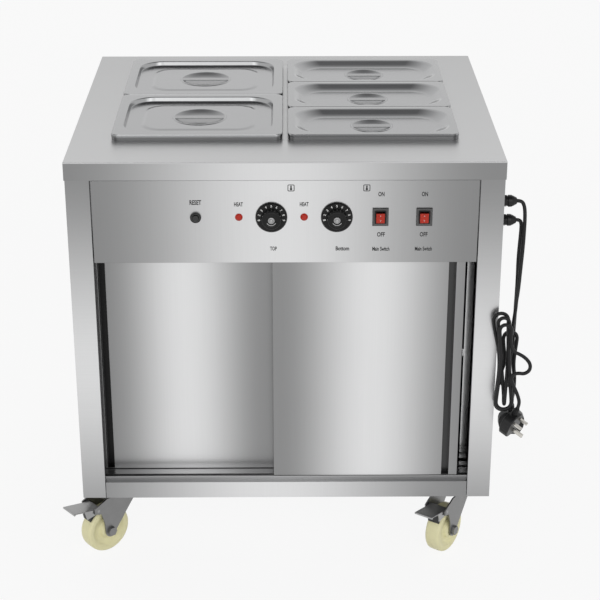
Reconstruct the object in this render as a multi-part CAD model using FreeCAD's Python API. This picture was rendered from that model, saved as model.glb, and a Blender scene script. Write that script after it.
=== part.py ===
import FreeCAD, Part
import math
import os

# Heated serving trolley. Millimetres, +Z up, origin on the floor under the middle of the cabinet.
# The front faces -Y and +X is to the right of someone who stands in front of it.

V = FreeCAD.Vector

# Worktop and cabinet
top_width = 812.0
top_depth = 720.0
work_height = 850.0
castor_height = 145.0
fascia_height = 35.0
top_sheet = 1.5
body_sheet = 1.2
post_width = 45.0
post_return = 9.0
back_flange = 25.0
rail_height = 35.0
rail_return = 18.0

# Pans, lids and the cut-out that they hang in
pan_length = 325.0
half_pan_width = 265.0
third_pan_width = 176.67
column_gap = 10.0
row_gap = 1.0
pans_behind_middle = 27.0
pan_seat = 5.0
pan_flange = 12.5
pan_lip = 7.0
pan_depth = 100.0
pan_taper = 9.0
pan_corner = 14.0
pan_body_corner = 32.0
pan_sheet = 0.8
lid_skirt = 6.0
half_lid_border = 19.0
third_lid_border = 14.0
lid_recess = 12.5
lid_recess_corner = 50.0
lid_slope = 14.0
half_lid_dish = 100.0
third_lid_dish = 76.0
lid_dish_depth = 9.0
lid_dish_slope = 12.0
grip_width = 16.0
grip_sheet = 1.5
grip_foot = 8.0

# Support bars and the well tank
long_bar_width = 26.0
cross_bar_width = 18.0
bar_depth = 20.0
bar_play = 0.3
tank_ledge = 5.5
tank_flange = 15.0
tank_depth = 160.0
tank_corner = 12.0
drain_bore = 20.0
drain_wall = 3.0
drain_length = 52.0
drain_inset = 45.0
drain_cap_wall = 3.0
drain_cap_height = 16.0

# Heating elements
element_diameter = 8.0
element_pitch = 90.0
tank_element_runs = 6
tank_element_lift = 16.0
tank_element_margin = 45.0
element_nut = 18.0
element_nut_length = 7.0
element_tail = 22.0
cupboard_element_runs = 4
cupboard_element_lift = 18.0
cupboard_element_front = 120.0
cupboard_element_length = 330.0
clip_width = 14.0
clip_depth = 10.0
terminal_size = 26.0

# Control panel and what is on it
panel_height = 162.5
panel_gap = 2.0
panel_top_gap = 1.0
panel_return = 9.0
panel_tab = 14.0
controls_drop = 107.5
knob_x = (-25.9, 95.2)
lamp_x = (-86.0, 34.7)
reset_x = -166.0
switch_insets = (183.5, 102.3)
knob_diameter = 59.0
knob_skirt = 5.0
knob_cap = 37.0
knob_reach = 20.0
knob_insert = 15.0
knob_stand_off = 1.0
spindle_diameter = 6.0
spindle_hole = 9.0
running_gap = 0.05
thermostat_width = 44.0
thermostat_depth = 28.0
capillary = 2.5
bulb_diameter = 6.0
bulb_length = 60.0
lamp_diameter = 14.2
lamp_reach = 4.5
lamp_body = 11.0
lamp_depth = 26.0
reset_ring = 20.2
reset_ring_depth = 4.0
reset_bush = 15.0
reset_button_diameter = 11.6
reset_travel = 3.0
reset_reach = 7.0
reset_body = 26.0
bezel_width = 29.6
bezel_height = 34.5
bezel_depth = 2.5
rocker_width = 16.0
rocker_height = 20.0
rocker_reach = 3.0
rocker_depth = 8.0
rocker_tilt = 10.0
rocker_play = 0.8
rocker_pin = 2.6
switch_depth = 24.0
switch_body_inset = 3.0
terminal_block = (60.0, 24.0, 18.0)

# Doors and tracks
door_width = 364.0
door_thickness = 24.0
door_sheet = 1.0
front_door_set_back = 12.0
rear_door_set_back = 43.0
right_door_edge = 339.0
left_door_edge = -375.0
door_clearance = 1.0
door_top_lap = 5.5
finger_flange = 17.0
finger_width = 14.0
finger_depth = 14.0
guide_length = 30.0
guide_width = 6.0
guide_inset = 25.0
guide_play = 0.3
track_height = 8.0
track_groove = 8.8
track_tail = 25.0
top_track_height = 13.0
top_track_gap = 2.0
slot_length = 16.0
slot_width = 6.0
slot_x = (-297.0, -147.5, 147.5, 297.0)

# Cupboard lining and shelf
liner_half_width = 350.0
liner_set_back = 75.0
liner_flange = 14.0
shelf_height = 430.0
runner_width = 15.0
shelf_play = 1.0
shelf_front_lip = 20.0
shelf_front_gap = 12.0
track_to_liner_gap = 1.0

# Chassis channels and castors
castor_inset_x = 64.0
castor_inset_y = 75.0
channel_width = 110.0
channel_sheet = 2.0
channel_end_gap = 22.0
plate_length = 100.0
plate_width = 80.0
plate_thickness = 4.0
bolt_spacing_x = 80.0
bolt_spacing_y = 60.0
bolt_diameter = 8.0
bolt_hole = 9.0
bolt_head = 13.0
bolt_head_height = 5.5
nut_height = 6.5
cup_diameter = 56.0
cup_height = 8.0
king_pin = 12.0
race_gap = 0.5
crown_diameter = 60.0
crown_height = 6.0
crown_sheet = 3.0
crown_back = 26.0
crown_front = 32.0
wheel_diameter = 100.0
wheel_width = 32.0
hub_width = 38.0
hub_diameter = 36.0
web_width = 22.0
rim_depth = 13.0
castor_trail = 38.0
leg_gap = 2.0
leg_sheet = 3.0
axle_diameter = 10.0
axle_head = 17.0
axle_head_height = 6.0
axle_end_radius = 13.0
wheel_edge = 4.0
leg_front = 44.0
leg_back_height = 12.0
leg_shoulder = (12.0, 98.0)
leg_neck = (15.0, 24.0)
leg_arm = (9.0, 6.0, 5.0)
leg_arm_back = (6.0, 9.0)
brake_pivot = (66.0, 106.0)
brake_pivot_pin = 6.0
brake_side_gap = 1.0
brake_sheet = 2.0
pedal_back = (5.0, 6.0)
pedal_knee = (12.0, 5.0)
pedal_edge = (48.0, 11.0)
pedal_lip = (8.0, 1.0)
cheek_front = (30.0, 7.0)
cheek_toe = (25.0, 12.0)
cheek_heel = (4.0, 8.0)
cheek_back_drop = 4.0
brake_rubber_gap = 1.3
brake_rubber_width = 26.0
brake_rubber_angles = (36.0, 54.0)
brake_rubber_top = (6.0, 20.0)
castor_turns = {"front_left": 220.0, "front_right": 235.0, "rear_left": 55.0, "rear_right": 40.0}

# Cable glands, mains leads, hank and plugs
gland_set_back = 35.0
gland_drops = (89.0, 127.0)
gland_diameter = 23.0
gland_reach = 28.0
gland_thread = 20.0
gland_hole_play = 0.2
gland_inside = 14.0
cord_diameter = 7.0
hank_step = 8.6
plug_width = 50.0
plug_height = 48.0
plug_thickness = 20.0
plug_relief = 15.0
plug_edge = 2.5
pin_spacing = 22.2
earth_pin_place = 10.5
relief_ends = (6.5, 4.5)
earth_pin = (4.0, 8.0, 22.7)
live_pin = (6.3, 4.0, 17.7)

# Places that follow from the sizes above
half_x = top_width / 2 - top_sheet
front_y = -(top_depth / 2 - top_sheet)
back_y = -front_y
fascia_bottom = work_height - fascia_height
top_under = work_height - top_sheet
base_top = castor_height + rail_height
castor_x = top_width / 2 - castor_inset_x
castor_y = top_depth / 2 - castor_inset_y
opening_half_x = half_x - post_width
switch_x = [opening_half_x - inset for inset in switch_insets]
pans_front = pans_behind_middle - half_pan_width
pans_back = pans_front + 2 * half_pan_width
cut_half_x = column_gap / 2 + pan_length - pan_seat
cut_front = pans_front + pan_seat
cut_back = pans_back - pan_seat
ledge_z = top_under - bar_depth
tank_floor = work_height - tank_depth
panel_top = fascia_bottom - panel_top_gap
panel_bottom = panel_top - panel_height
controls_z = work_height - controls_drop
panel_back = front_y + body_sheet
track_front = front_y + front_door_set_back - top_sheet
front_door_y = -top_depth / 2 + front_door_set_back
rear_door_y = -top_depth / 2 + rear_door_set_back
track_back = rear_door_y + track_tail
track_top = base_top + track_height
door_bottom = track_top + door_clearance
door_top = panel_bottom + door_top_lap
top_track_bottom = door_top + top_track_gap
top_track_top = top_track_bottom + top_track_height
liner_front = -top_depth / 2 + liner_set_back
back_inner = back_y - 2 * body_sheet
knob_front = front_y - knob_stand_off - knob_reach


def box(x0, x1, y0, y1, z0, z1):
    return Part.makeBox(x1 - x0, y1 - y0, z1 - z0, V(x0, y0, z0))


def rod(start, axis, diameter, length):
    return Part.makeCylinder(diameter / 2, length, start, axis)


def unite(shapes):
    first = shapes[0]
    if len(shapes) == 1:
        return first
    return first.fuse(shapes[1:]).removeSplitter()


def rounded_wire(x0, x1, y0, y1, radius, z):
    """Rectangle with round corners at height z."""
    r = min(radius, (x1 - x0) / 2 - 0.5, (y1 - y0) / 2 - 0.5)
    edges = []
    corners = [(x1 - r, y0 + r, -90), (x1 - r, y1 - r, 0), (x0 + r, y1 - r, 90), (x0 + r, y0 + r, 180)]
    ends = []
    for cx, cy, angle in corners:
        a0 = math.radians(angle)
        a1 = math.radians(angle + 45)
        a2 = math.radians(angle + 90)
        arc = [V(cx + r * math.cos(a), cy + r * math.sin(a), z) for a in (a0, a1, a2)]
        ends.append(arc)
    for i, arc in enumerate(ends):
        edges.append(Part.Arc(arc[0], arc[1], arc[2]).toShape())
        edges.append(Part.LineSegment(arc[2], ends[(i + 1) % 4][0]).toShape())
    return Part.Wire(edges)


def rounded_block(x0, x1, y0, y1, radius, z0, z1):
    face = Part.Face(rounded_wire(x0, x1, y0, y1, radius, z0))
    return face.extrude(V(0, 0, z1 - z0))


def tapered_block(x0, x1, y0, y1, radius, z_wide, z_narrow, inset):
    wide = rounded_wire(x0, x1, y0, y1, radius, z_wide)
    narrow = rounded_wire(x0 + inset, x1 - inset, y0 + inset, y1 - inset, radius - inset / 2, z_narrow)
    return Part.makeLoft([narrow, wide], True, True)


def hexagon(centre, axis_z_up, across, height):
    points = []
    for i in range(7):
        a = math.radians(60 * i)
        points.append(V(centre.x + across / math.sqrt(3) * math.cos(a),
                        centre.y + across / math.sqrt(3) * math.sin(a), centre.z))
    return Part.Face(Part.makePolygon(points)).extrude(V(0, 0, height if axis_z_up else -height))


# Worktop, pans and lids

def worktop():
    slab = box(-top_width / 2, top_width / 2, -top_depth / 2, top_depth / 2, fascia_bottom, work_height)
    hollow = box(-half_x, half_x, front_y, back_y, fascia_bottom, top_under)
    cut = rounded_block(-cut_half_x, cut_half_x, cut_front, cut_back, tank_corner, top_under, work_height)
    return slab.cut(hollow).cut(cut)


def pan_rows():
    """Each pan as its name, left edge, front edge and width, and its lid's flat border and dish diameter."""
    left = -column_gap / 2 - pan_length
    right = column_gap / 2
    rows = []
    for i, name in enumerate(("half_front", "half_rear")):
        rows.append((name, left, pans_front + i * half_pan_width, half_pan_width, half_lid_border, half_lid_dish))
    for i, name in enumerate(("third_front", "third_middle", "third_rear")):
        rows.append((name, right, pans_front + i * third_pan_width, third_pan_width, third_lid_border,
                     third_lid_dish))
    return rows


def pan_bars():
    half_long = long_bar_width / 2
    half_cross = cross_bar_width / 2
    front = cut_front + bar_play
    back = cut_back - bar_play
    end = cut_half_x - bar_play
    outer = [box(-half_long, half_long, front, back, ledge_z, work_height)]
    inner = [box(-half_long + top_sheet, half_long - top_sheet, front, back, ledge_z, top_under)]
    for name, x0, y0, width, border, dish in pan_rows():
        if y0 == pans_front:
            continue
        sides = (-end, -half_long) if x0 < 0 else (half_long, end)
        outer.append(box(sides[0], sides[1], y0 - half_cross, y0 + half_cross, ledge_z, work_height))
        inner.append(box(sides[0], sides[1], y0 - half_cross + top_sheet, y0 + half_cross - top_sheet,
                         ledge_z, top_under))
    return unite(outer).cut(Part.makeCompound(inner))


def pan(x0, y0, width):
    y0 = y0 + row_gap / 2
    x1 = x0 + pan_length
    y1 = y0 + width - row_gap
    lip_top = work_height + pan_lip
    rim = rounded_block(x0, x1, y0, y1, pan_corner, work_height, lip_top)
    under = rounded_block(x0 + pan_sheet, x1 - pan_sheet, y0 + pan_sheet, y1 - pan_sheet,
                          pan_corner - pan_sheet, work_height, lip_top - pan_sheet)
    body_top = lip_top - pan_sheet / 2
    bottom = lip_top - pan_depth
    outer = tapered_block(x0 + pan_flange, x1 - pan_flange, y0 + pan_flange, y1 - pan_flange,
                          pan_body_corner, body_top, bottom, pan_taper)
    wall = pan_flange + pan_sheet
    inner = tapered_block(x0 + wall, x1 - wall, y0 + wall, y1 - wall, pan_body_corner - pan_sheet,
                          lip_top, bottom + pan_sheet, pan_taper)
    return rim.cut(under).fuse(outer).cut(inner).removeSplitter()


def lid(x0, y0, width, b, dish):
    y0 = y0 + row_gap / 2
    x1 = x0 + pan_length
    y1 = y0 + width - row_gap
    cx = (x0 + x1) / 2
    cy = (y0 + y1) / 2
    seat = work_height + pan_lip
    top = seat + lid_skirt
    field = top - lid_recess
    t = pan_sheet
    shell = rounded_block(x0, x1, y0, y1, pan_corner, seat, top)
    shell = shell.cut(rounded_block(x0 + t, x1 - t, y0 + t, y1 - t, pan_corner - t, seat, top - t))
    well = tapered_block(x0 + b - t, x1 - b + t, y0 + b - t, y1 - b + t, lid_recess_corner + t,
                         top - t / 2, field - t, lid_slope)
    shell = shell.fuse(well)
    shell = shell.cut(tapered_block(x0 + b, x1 - b, y0 + b, y1 - b, lid_recess_corner, top, field, lid_slope))
    low = dish / 2 - lid_dish_slope
    bowl = Part.makeCone(low + t, dish / 2 + t, lid_dish_depth, V(cx, cy, field - t - lid_dish_depth))
    hollow = Part.makeCone(low, dish / 2, lid_dish_depth, V(cx, cy, field - lid_dish_depth))
    shell = shell.fuse(bowl.fuse(rod(V(cx, cy, field - t), V(0, 0, 1), dish + 2 * t, t))).cut(hollow)
    reach = dish / 2 + grip_foot
    grip = box(cx - reach, cx + reach, cy - grip_width / 2, cy + grip_width / 2, field, field + grip_sheet)
    return Part.makeCompound([shell.removeSplitter(), grip])


# Well tank, insulation and heating elements

def tank_body():
    low_half_x = cut_half_x - tank_ledge
    low_front = cut_front + tank_ledge
    low_back = cut_back - tank_ledge
    t = body_sheet
    r = tank_corner
    flange = rounded_block(-cut_half_x - tank_flange, cut_half_x + tank_flange, cut_front - tank_flange,
                           cut_back + tank_flange, r, top_under - t, top_under)
    upper = rounded_block(-cut_half_x - t, cut_half_x + t, cut_front - t, cut_back + t, r + t,
                          ledge_z - t, top_under)
    lower = rounded_block(-low_half_x - t, low_half_x + t, low_front - t, low_back + t, r + t,
                          tank_floor - t, ledge_z - t / 2)
    upper_room = rounded_block(-cut_half_x, cut_half_x, cut_front, cut_back, r, ledge_z, top_under)
    lower_room = rounded_block(-low_half_x, low_half_x, low_front, low_back, r, tank_floor, ledge_z)
    return flange.fuse([upper, lower]).cut(upper_room).cut(lower_room).removeSplitter()


def drain_centre():
    return (-cut_half_x + tank_ledge + drain_inset, cut_back - tank_ledge - drain_inset)


def well_tank():
    x, y = drain_centre()
    up = V(0, 0, 1)
    outside = drain_bore + 2 * drain_wall
    under = tank_floor - body_sheet
    stub = rod(V(x, y, under - drain_length), up, outside, drain_length)
    body = tank_body().fuse(stub)
    body = body.cut(rod(V(x, y, under - drain_length), up, drain_bore, drain_length + 2 * body_sheet))
    for start in element_ends():
        body = body.cut(rod(V(start, cut_front, tank_element_z()), V(0, 1, 0), element_diameter + 2 * running_gap,
                            2 * tank_ledge))
    cap_outside = outside + 2 * drain_cap_wall
    cap_bottom = under - drain_length - drain_cap_wall
    cap = rod(V(x, y, cap_bottom), up, cap_outside, drain_cap_height)
    cap = cap.cut(rod(V(x, y, under - drain_length), up, outside, drain_cap_height))
    return Part.makeCompound([body.removeSplitter(), cap])


def tank_element_z():
    return tank_floor + tank_element_lift


def element_ends():
    half = element_pitch * (tank_element_runs - 1) / 2
    return (-half, half)


def serpentine(xs, y_ends, y_turns, z):
    """Path of a bent element: straight runs along Y at the given xs, joined by half turns."""
    edges = []
    y = y_ends
    for i, x in enumerate(xs):
        target = (y_turns[0] if i % 2 == 0 else y_turns[1]) if i < len(xs) - 1 else y_ends
        edges.append(Part.LineSegment(V(x, y, z), V(x, target, z)).toShape())
        if i < len(xs) - 1:
            r = (xs[i + 1] - x) / 2
            bulge = r if target > y else -r
            edges.append(Part.Arc(V(x, target, z), V(x + r, target + bulge, z), V(xs[i + 1], target, z)).toShape())
        y = target
    return Part.Wire(edges)


def bent_tube(path, diameter):
    start = path.Edges[0]
    tangent = start.tangentAt(start.FirstParameter)
    ring = Part.Wire([Part.makeCircle(diameter / 2, start.valueAt(start.FirstParameter), tangent)])
    return path.makePipeShell([ring], True, False)


def tank_element():
    z = tank_element_z()
    xs = [element_ends()[0] + element_pitch * i for i in range(tank_element_runs)]
    wall_front = cut_front + tank_ledge - body_sheet
    turns = (cut_back - tank_ledge - tank_element_margin - element_pitch / 2,
             wall_front + tank_element_margin + element_pitch / 2)
    tube = bent_tube(serpentine(xs, wall_front - element_tail, turns, z), element_diameter)
    nuts = []
    for x in element_ends():
        nut = rod(V(x, wall_front - element_nut_length, z), V(0, 1, 0), element_nut, element_nut_length)
        bore = rod(V(x, wall_front - element_nut_length, z), V(0, 1, 0), element_diameter, element_nut_length)
        nuts.append(nut.cut(bore))
    return Part.makeCompound([tube] + nuts)


def tank_insulation():
    t = body_sheet
    low_half_x = cut_half_x - tank_ledge + t
    slab = box(-low_half_x, low_half_x, cut_front + tank_ledge - t, cut_back - tank_ledge + t,
               top_track_top, tank_floor - t)
    x, y = drain_centre()
    outside = drain_bore + 2 * drain_wall
    return slab.cut(rod(V(x, y, top_track_top), V(0, 0, 1), outside, tank_floor - top_track_top))


def cupboard_element():
    z = base_top + cupboard_element_lift
    half = element_pitch * (cupboard_element_runs - 1) / 2
    xs = [-half + element_pitch * i for i in range(cupboard_element_runs)]
    front = liner_front + cupboard_element_front
    back = front + cupboard_element_length
    turns = (front + element_pitch / 2, back - element_pitch / 2)
    tube = bent_tube(serpentine(xs, back, turns, z), element_diameter)
    solids = [tube]
    for x in xs:
        y = (turns[0] + turns[1]) / 2
        clip = box(x - clip_width / 2, x + clip_width / 2, y - clip_depth / 2, y + clip_depth / 2,
                   base_top, z + element_diameter)
        hole = rod(V(x, y - clip_depth, z), V(0, 1, 0), element_diameter + 2 * running_gap, 2 * clip_depth)
        solids.append(clip.cut(hole))
    for x in (xs[0], xs[-1]):
        h = terminal_size / 2
        solids.append(box(x - h, x + h, back, back + terminal_size, base_top, z + h))
    return Part.makeCompound(solids)


# Cabinet sheets

def side_panel(side):
    t = body_sheet
    w = body_sheet
    outer = half_x
    pieces = [
        box(outer - t, outer, front_y, back_y, castor_height, top_under),
        box(opening_half_x, outer, front_y, front_y + w, castor_height, fascia_bottom),
        box(opening_half_x, opening_half_x + t, front_y, front_y + post_return, castor_height, fascia_bottom),
        box(outer - back_flange, outer, back_y - w, back_y, castor_height, fascia_bottom),
    ]
    panel = unite(pieces)
    if side > 0:
        for drop in gland_drops:
            panel = panel.cut(rod(V(outer - 2 * t, gland_y(), work_height - drop), V(1, 0, 0),
                                  gland_thread + 2 * gland_hole_play, 4 * t))
    else:
        panel = panel.mirror(V(0, 0, 0), V(1, 0, 0))
    return panel


def back_panel():
    inner = half_x - body_sheet
    return box(-inner, inner, back_inner, back_inner + body_sheet, castor_height, top_under)


def base_tray():
    inner = half_x - body_sheet
    t = body_sheet
    gap = panel_gap / 2
    clear = front_y + post_return
    rail_half = opening_half_x - gap
    pieces = [
        box(-inner, inner, clear, back_inner, base_top - t, base_top),
        box(-rail_half, rail_half, front_y, clear, base_top - t, base_top),
        box(-rail_half, rail_half, front_y, front_y + t, castor_height, base_top),
        box(-rail_half, rail_half, front_y, front_y + rail_return, castor_height, castor_height + t),
    ]
    return unite(pieces)


def chassis_rails():
    rails = []
    for side in (-1, 1):
        x = side * castor_x
        half = channel_width / 2
        y = -front_y - channel_end_gap
        outer = box(x - half, x + half, -y, y, castor_height, base_top - body_sheet)
        inner = box(x - half + channel_sheet, x + half - channel_sheet, -y, y,
                    castor_height + channel_sheet, base_top - body_sheet)
        rail = outer.cut(inner)
        for corner_y in (-castor_y, castor_y):
            for bx, by in bolt_places(x, corner_y):
                rail = rail.cut(rod(V(bx, by, castor_height), V(0, 0, 1), bolt_hole, channel_sheet))
        rails.append(rail)
    return Part.makeCompound(rails)


def cupboard_liner():
    t = body_sheet
    w = liner_half_width
    ceiling_front = track_back + track_to_liner_gap
    pieces = [box(-w - t, w + t, ceiling_front, back_inner, top_track_top - t, top_track_top)]
    for side in (-1, 1):
        inner, outer = sorted((side * w, side * (w + t)))
        pieces.append(box(inner, outer, liner_front, back_inner, base_top, top_track_top))
        near, far = sorted((side * w, side * (w + liner_flange)))
        pieces.append(box(near, far, liner_front, liner_front + t, base_top, top_track_top))
    liner = unite(pieces)
    x, y = drain_centre()
    liner = liner.cut(rod(V(x, y, top_track_top - t), V(0, 0, 1),
                          drain_bore + 2 * drain_wall + 2 * gland_hole_play, t))
    liner = liner.cut(rod(V(knob_x[1], sensor_y(), top_track_top - t), V(0, 0, 1), 2 * bulb_diameter, t))
    runners = []
    for side in (-1, 1):
        a, b = sorted((side * w, side * (w - runner_width)))
        c, d = sorted((side * w, side * (w - t)))
        y0 = liner_front + shelf_front_gap
        top = box(a, b, y0, back_inner, shelf_height - t, shelf_height)
        web = box(c, d, y0, back_inner, shelf_height - runner_width, shelf_height)
        runners.append(unite([top, web]))
    return Part.makeCompound([liner] + runners)


def cupboard_shelf():
    half = liner_half_width - shelf_play
    y0 = liner_front + shelf_front_gap
    t = body_sheet
    plate = box(-half, half, y0, back_inner - shelf_play, shelf_height, shelf_height + t)
    lip_half = liner_half_width - runner_width - shelf_play
    lip = box(-lip_half, lip_half, y0, y0 + t, shelf_height - shelf_front_lip, shelf_height)
    return unite([plate, lip])


# Tracks and doors

def track_profile(z_floor, z_top):
    """Folded double channel with one groove for each door; the grooves open towards z_top."""
    t = body_sheet
    inner = half_x - body_sheet
    up = 1 if z_top > z_floor else -1
    front_groove = track_front + t
    rear_groove = rear_door_y + (front_groove - front_door_y)
    pieces = []
    walls = (track_front, front_groove + track_groove, rear_groove - t, rear_groove + track_groove, track_back - t)
    for y in walls:
        z0, z1 = sorted((z_floor, z_top))
        pieces.append(box(-inner, inner, y, y + t, z0, z1))
    for y0, y1 in ((walls[1], rear_groove), (walls[3], track_back)):
        z0, z1 = sorted((z_top, z_top - up * t))
        pieces.append(box(-inner, inner, y0, y1, z0, z1))
    for y0 in (front_groove, rear_groove):
        z0, z1 = sorted((z_floor, z_floor + up * t))
        pieces.append(box(-inner, inner, y0, y0 + track_groove, z0, z1))
    return unite(pieces)


def groove_middle(door_y):
    return track_front + body_sheet + track_groove / 2 + (door_y - front_door_y)


def bottom_track():
    track = track_profile(base_top, track_top)
    for door_y in (front_door_y, rear_door_y):
        for x in slot_x:
            y = groove_middle(door_y)
            half = (slot_length - slot_width) / 2
            slot = [box(x - half, x + half, y - slot_width / 2, y + slot_width / 2, base_top, base_top + body_sheet)]
            for end in (x - half, x + half):
                slot.append(rod(V(end, y, base_top), V(0, 0, 1), slot_width, body_sheet))
            track = track.cut(unite(slot))
    return track


def top_track():
    return track_profile(top_track_top, top_track_bottom)


def door(y0, edge, side):
    """Door whose outer edge is at edge; side is -1 for the left door and 1 for the right one."""
    inner_edge = edge - side * door_width
    x0, x1 = sorted((edge, inner_edge))
    t = door_sheet
    y1 = y0 + door_thickness
    tray = box(x0, x1, y0, y1, door_bottom, door_top)
    room = box(x0 + t, x1 - t, y0 + t, y1, door_bottom + t, door_top - t)
    a = edge - side * finger_flange
    b = a - side * finger_width
    f0, f1 = sorted((a, b))
    around = box(f0 - t, f1 + t, y0, y0 + finger_depth + t, door_bottom, door_top)
    channel = box(f0, f1, y0, y0 + finger_depth, door_bottom + t, door_top - t)
    tray = tray.cut(room.cut(around)).cut(channel)
    back = box(x0 + t, x1 - t, y1 - t, y1, door_bottom + t, door_top - t)
    solids = [tray.removeSplitter(), back]
    middle = groove_middle(y0)
    floor = base_top + body_sheet + guide_play
    ceiling = top_track_top - body_sheet - 2 * top_track_gap
    for x in (x0 + guide_inset, x1 - guide_inset - guide_length):
        w = guide_width / 2
        solids.append(box(x, x + guide_length, middle - w, middle + w, floor, door_bottom))
        solids.append(box(x, x + guide_length, middle - w, middle + w, door_top, ceiling))
    return Part.makeCompound(solids)


# Control panel and controls

def control_panel():
    t = body_sheet
    half = opening_half_x - panel_gap
    back = front_y + panel_return
    pieces = [
        box(-half, half, front_y, front_y + t, panel_bottom, panel_top),
        box(-half, half, front_y, back, panel_bottom, panel_bottom + t),
        box(-half, half, front_y, back, panel_top - t, panel_top),
    ]
    tab_bottom = top_track_bottom
    for side in (-1, 1):
        a, b = sorted((side * half, side * (half - t)))
        pieces.append(box(a, b, front_y, back + t, tab_bottom, panel_top - t))
        a, b = sorted((side * (half - t), side * (half + panel_tab)))
        pieces.append(box(a, b, back, back + t, tab_bottom, panel_top - t))
    panel = unite(pieces)
    y = front_y - t
    depth = 4 * t
    into = V(0, 1, 0)
    for x in knob_x:
        panel = panel.cut(rod(V(x, y, controls_z), into, spindle_hole, depth))
    for x in lamp_x:
        panel = panel.cut(rod(V(x, y, controls_z), into, lamp_body + 2 * gland_hole_play, depth))
    panel = panel.cut(rod(V(reset_x, y, controls_z), into, reset_bush + 2 * gland_hole_play, depth))
    for x in switch_x:
        w = bezel_width / 2 - switch_body_inset + gland_hole_play
        h = bezel_height / 2 - switch_body_inset + gland_hole_play
        panel = panel.cut(box(x - w, x + w, y, y + depth, controls_z - h, controls_z + h))
    return panel


def sensor_y():
    return (track_back + cut_front) / 2


def thermostats():
    solids = []
    into = V(0, 1, 0)
    back = panel_back + thermostat_depth
    for i, x in enumerate(knob_x):
        h = thermostat_width / 2
        body = box(x - h, x + h, panel_back, back, controls_z - h, controls_z + h)
        body = body.cut(rod(V(x, panel_back, controls_z), into, spindle_diameter + 2 * running_gap,
                            thermostat_depth - 2 * body_sheet))
        solids.append(body)
        if i == 0:
            wall = cut_front + tank_ledge - body_sheet
            solids.append(rod(V(x, back, tank_floor + tank_depth / 3), into, capillary, wall - back)
                          .fuse(rod(V(x, wall - bulb_length, tank_floor + tank_depth / 3), into,
                                    bulb_diameter, bulb_length)).removeSplitter())
        else:
            r = capillary * 4
            y = sensor_y()
            low = top_track_top - bulb_length
            edges = [
                Part.LineSegment(V(x, back, controls_z), V(x, y - r, controls_z)).toShape(),
                Part.Arc(V(x, y - r, controls_z),
                         V(x, y - r + r * math.sin(math.pi / 4), controls_z - r + r * math.cos(math.pi / 4)),
                         V(x, y, controls_z - r)).toShape(),
                Part.LineSegment(V(x, y, controls_z - r), V(x, y, top_track_top)).toShape(),
            ]
            lead = bent_tube(Part.Wire(edges), capillary)
            bulb = rod(V(x, y, low), V(0, 0, 1), bulb_diameter, bulb_length)
            solids.append(lead.fuse(bulb).removeSplitter())
    return Part.makeCompound(solids)


def indicator_lamps():
    solids = []
    for x in lamp_x:
        body = rod(V(x, front_y, controls_z), V(0, 1, 0), lamp_body, lamp_depth)
        radius = lamp_diameter / 2
        ball = (radius ** 2 + lamp_reach ** 2) / (2 * lamp_reach)
        dome = Part.makeSphere(ball, V(x, front_y - lamp_reach + ball, controls_z))
        cap = dome.common(rod(V(x, front_y - lamp_reach - 1, controls_z), V(0, 1, 0), lamp_diameter, lamp_reach + 1))
        solids.append(body.fuse(cap).removeSplitter())
    return Part.makeCompound(solids)


def reset_cutout():
    into = V(0, 1, 0)
    stem_hole = reset_button_diameter + 4 * running_gap
    ring = rod(V(reset_x, front_y - reset_ring_depth, controls_z), into, reset_ring, reset_ring_depth)
    bush = rod(V(reset_x, front_y, controls_z), into, reset_bush, body_sheet + 2 * body_sheet)
    h = reset_body / 2
    body_front = panel_back + 2 * body_sheet
    body = box(reset_x - h, reset_x + h, body_front, body_front + reset_body, controls_z - h, controls_z + h)
    hole = rod(V(reset_x, front_y - 2 * reset_ring_depth, controls_z), into, stem_hole,
               2 * reset_ring_depth + body_front - front_y + reset_travel + 2 * body_sheet)
    return unite([ring, bush, body]).cut(hole)


def reset_button():
    into = V(0, 1, 0)
    front = front_y - reset_reach
    length = reset_reach + body_sheet + 2 * body_sheet
    stem = rod(V(reset_x, front, controls_z), into, reset_button_diameter, length)
    edge = [e for e in stem.Edges if abs(e.CenterOfMass.y - front) < 0.01 and e.Closed]
    return stem.makeFillet(reset_button_diameter / 4, edge[:1])


def knob(x):
    out = V(0, 1, 0)
    skirt_front = knob_front + knob_reach - knob_skirt
    skirt = Part.makeCone(knob_diameter / 2 - knob_skirt / 2, knob_diameter / 2, knob_skirt,
                          V(x, skirt_front, controls_z), out)
    cap = Part.makeCone(knob_cap / 2 - 1.5, knob_cap / 2, knob_reach - knob_skirt,
                        V(x, knob_front, controls_z), out)
    insert = rod(V(x, knob_front - body_sheet, controls_z), out, knob_insert, body_sheet)
    spindle_start = knob_front + knob_reach
    spindle_end = panel_back + thermostat_depth / 2
    spindle = rod(V(x, spindle_start, controls_z), out, spindle_diameter, spindle_end - spindle_start)
    return Part.makeCompound([skirt.fuse(cap).removeSplitter(), insert, spindle])


def switch_housings():
    solids = []
    for x in switch_x:
        w = bezel_width / 2
        h = bezel_height / 2
        bezel = box(x - w, x + w, front_y - bezel_depth, front_y, controls_z - h, controls_z + h)
        wi = w - switch_body_inset
        hi = h - switch_body_inset
        body = box(x - wi, x + wi, front_y, front_y + switch_depth, controls_z - hi, controls_z + hi)
        pw = rocker_width / 2 + rocker_play / 2
        ph = rocker_height / 2 + rocker_play
        pocket = box(x - pw, x + pw, front_y - bezel_depth, front_y + rocker_depth + rocker_reach,
                     controls_z - ph, controls_z + ph)
        housing = unite([bezel, body]).cut(pocket)
        housing = housing.cut(rod(V(x - pw - 2, rocker_pivot_y(), controls_z), V(1, 0, 0),
                                  rocker_pin + 2 * running_gap, 2 * pw + 4))
        solids.append(housing)
    return Part.makeCompound(solids)


def rocker_pivot_y():
    return front_y + rocker_depth / 2


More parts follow.
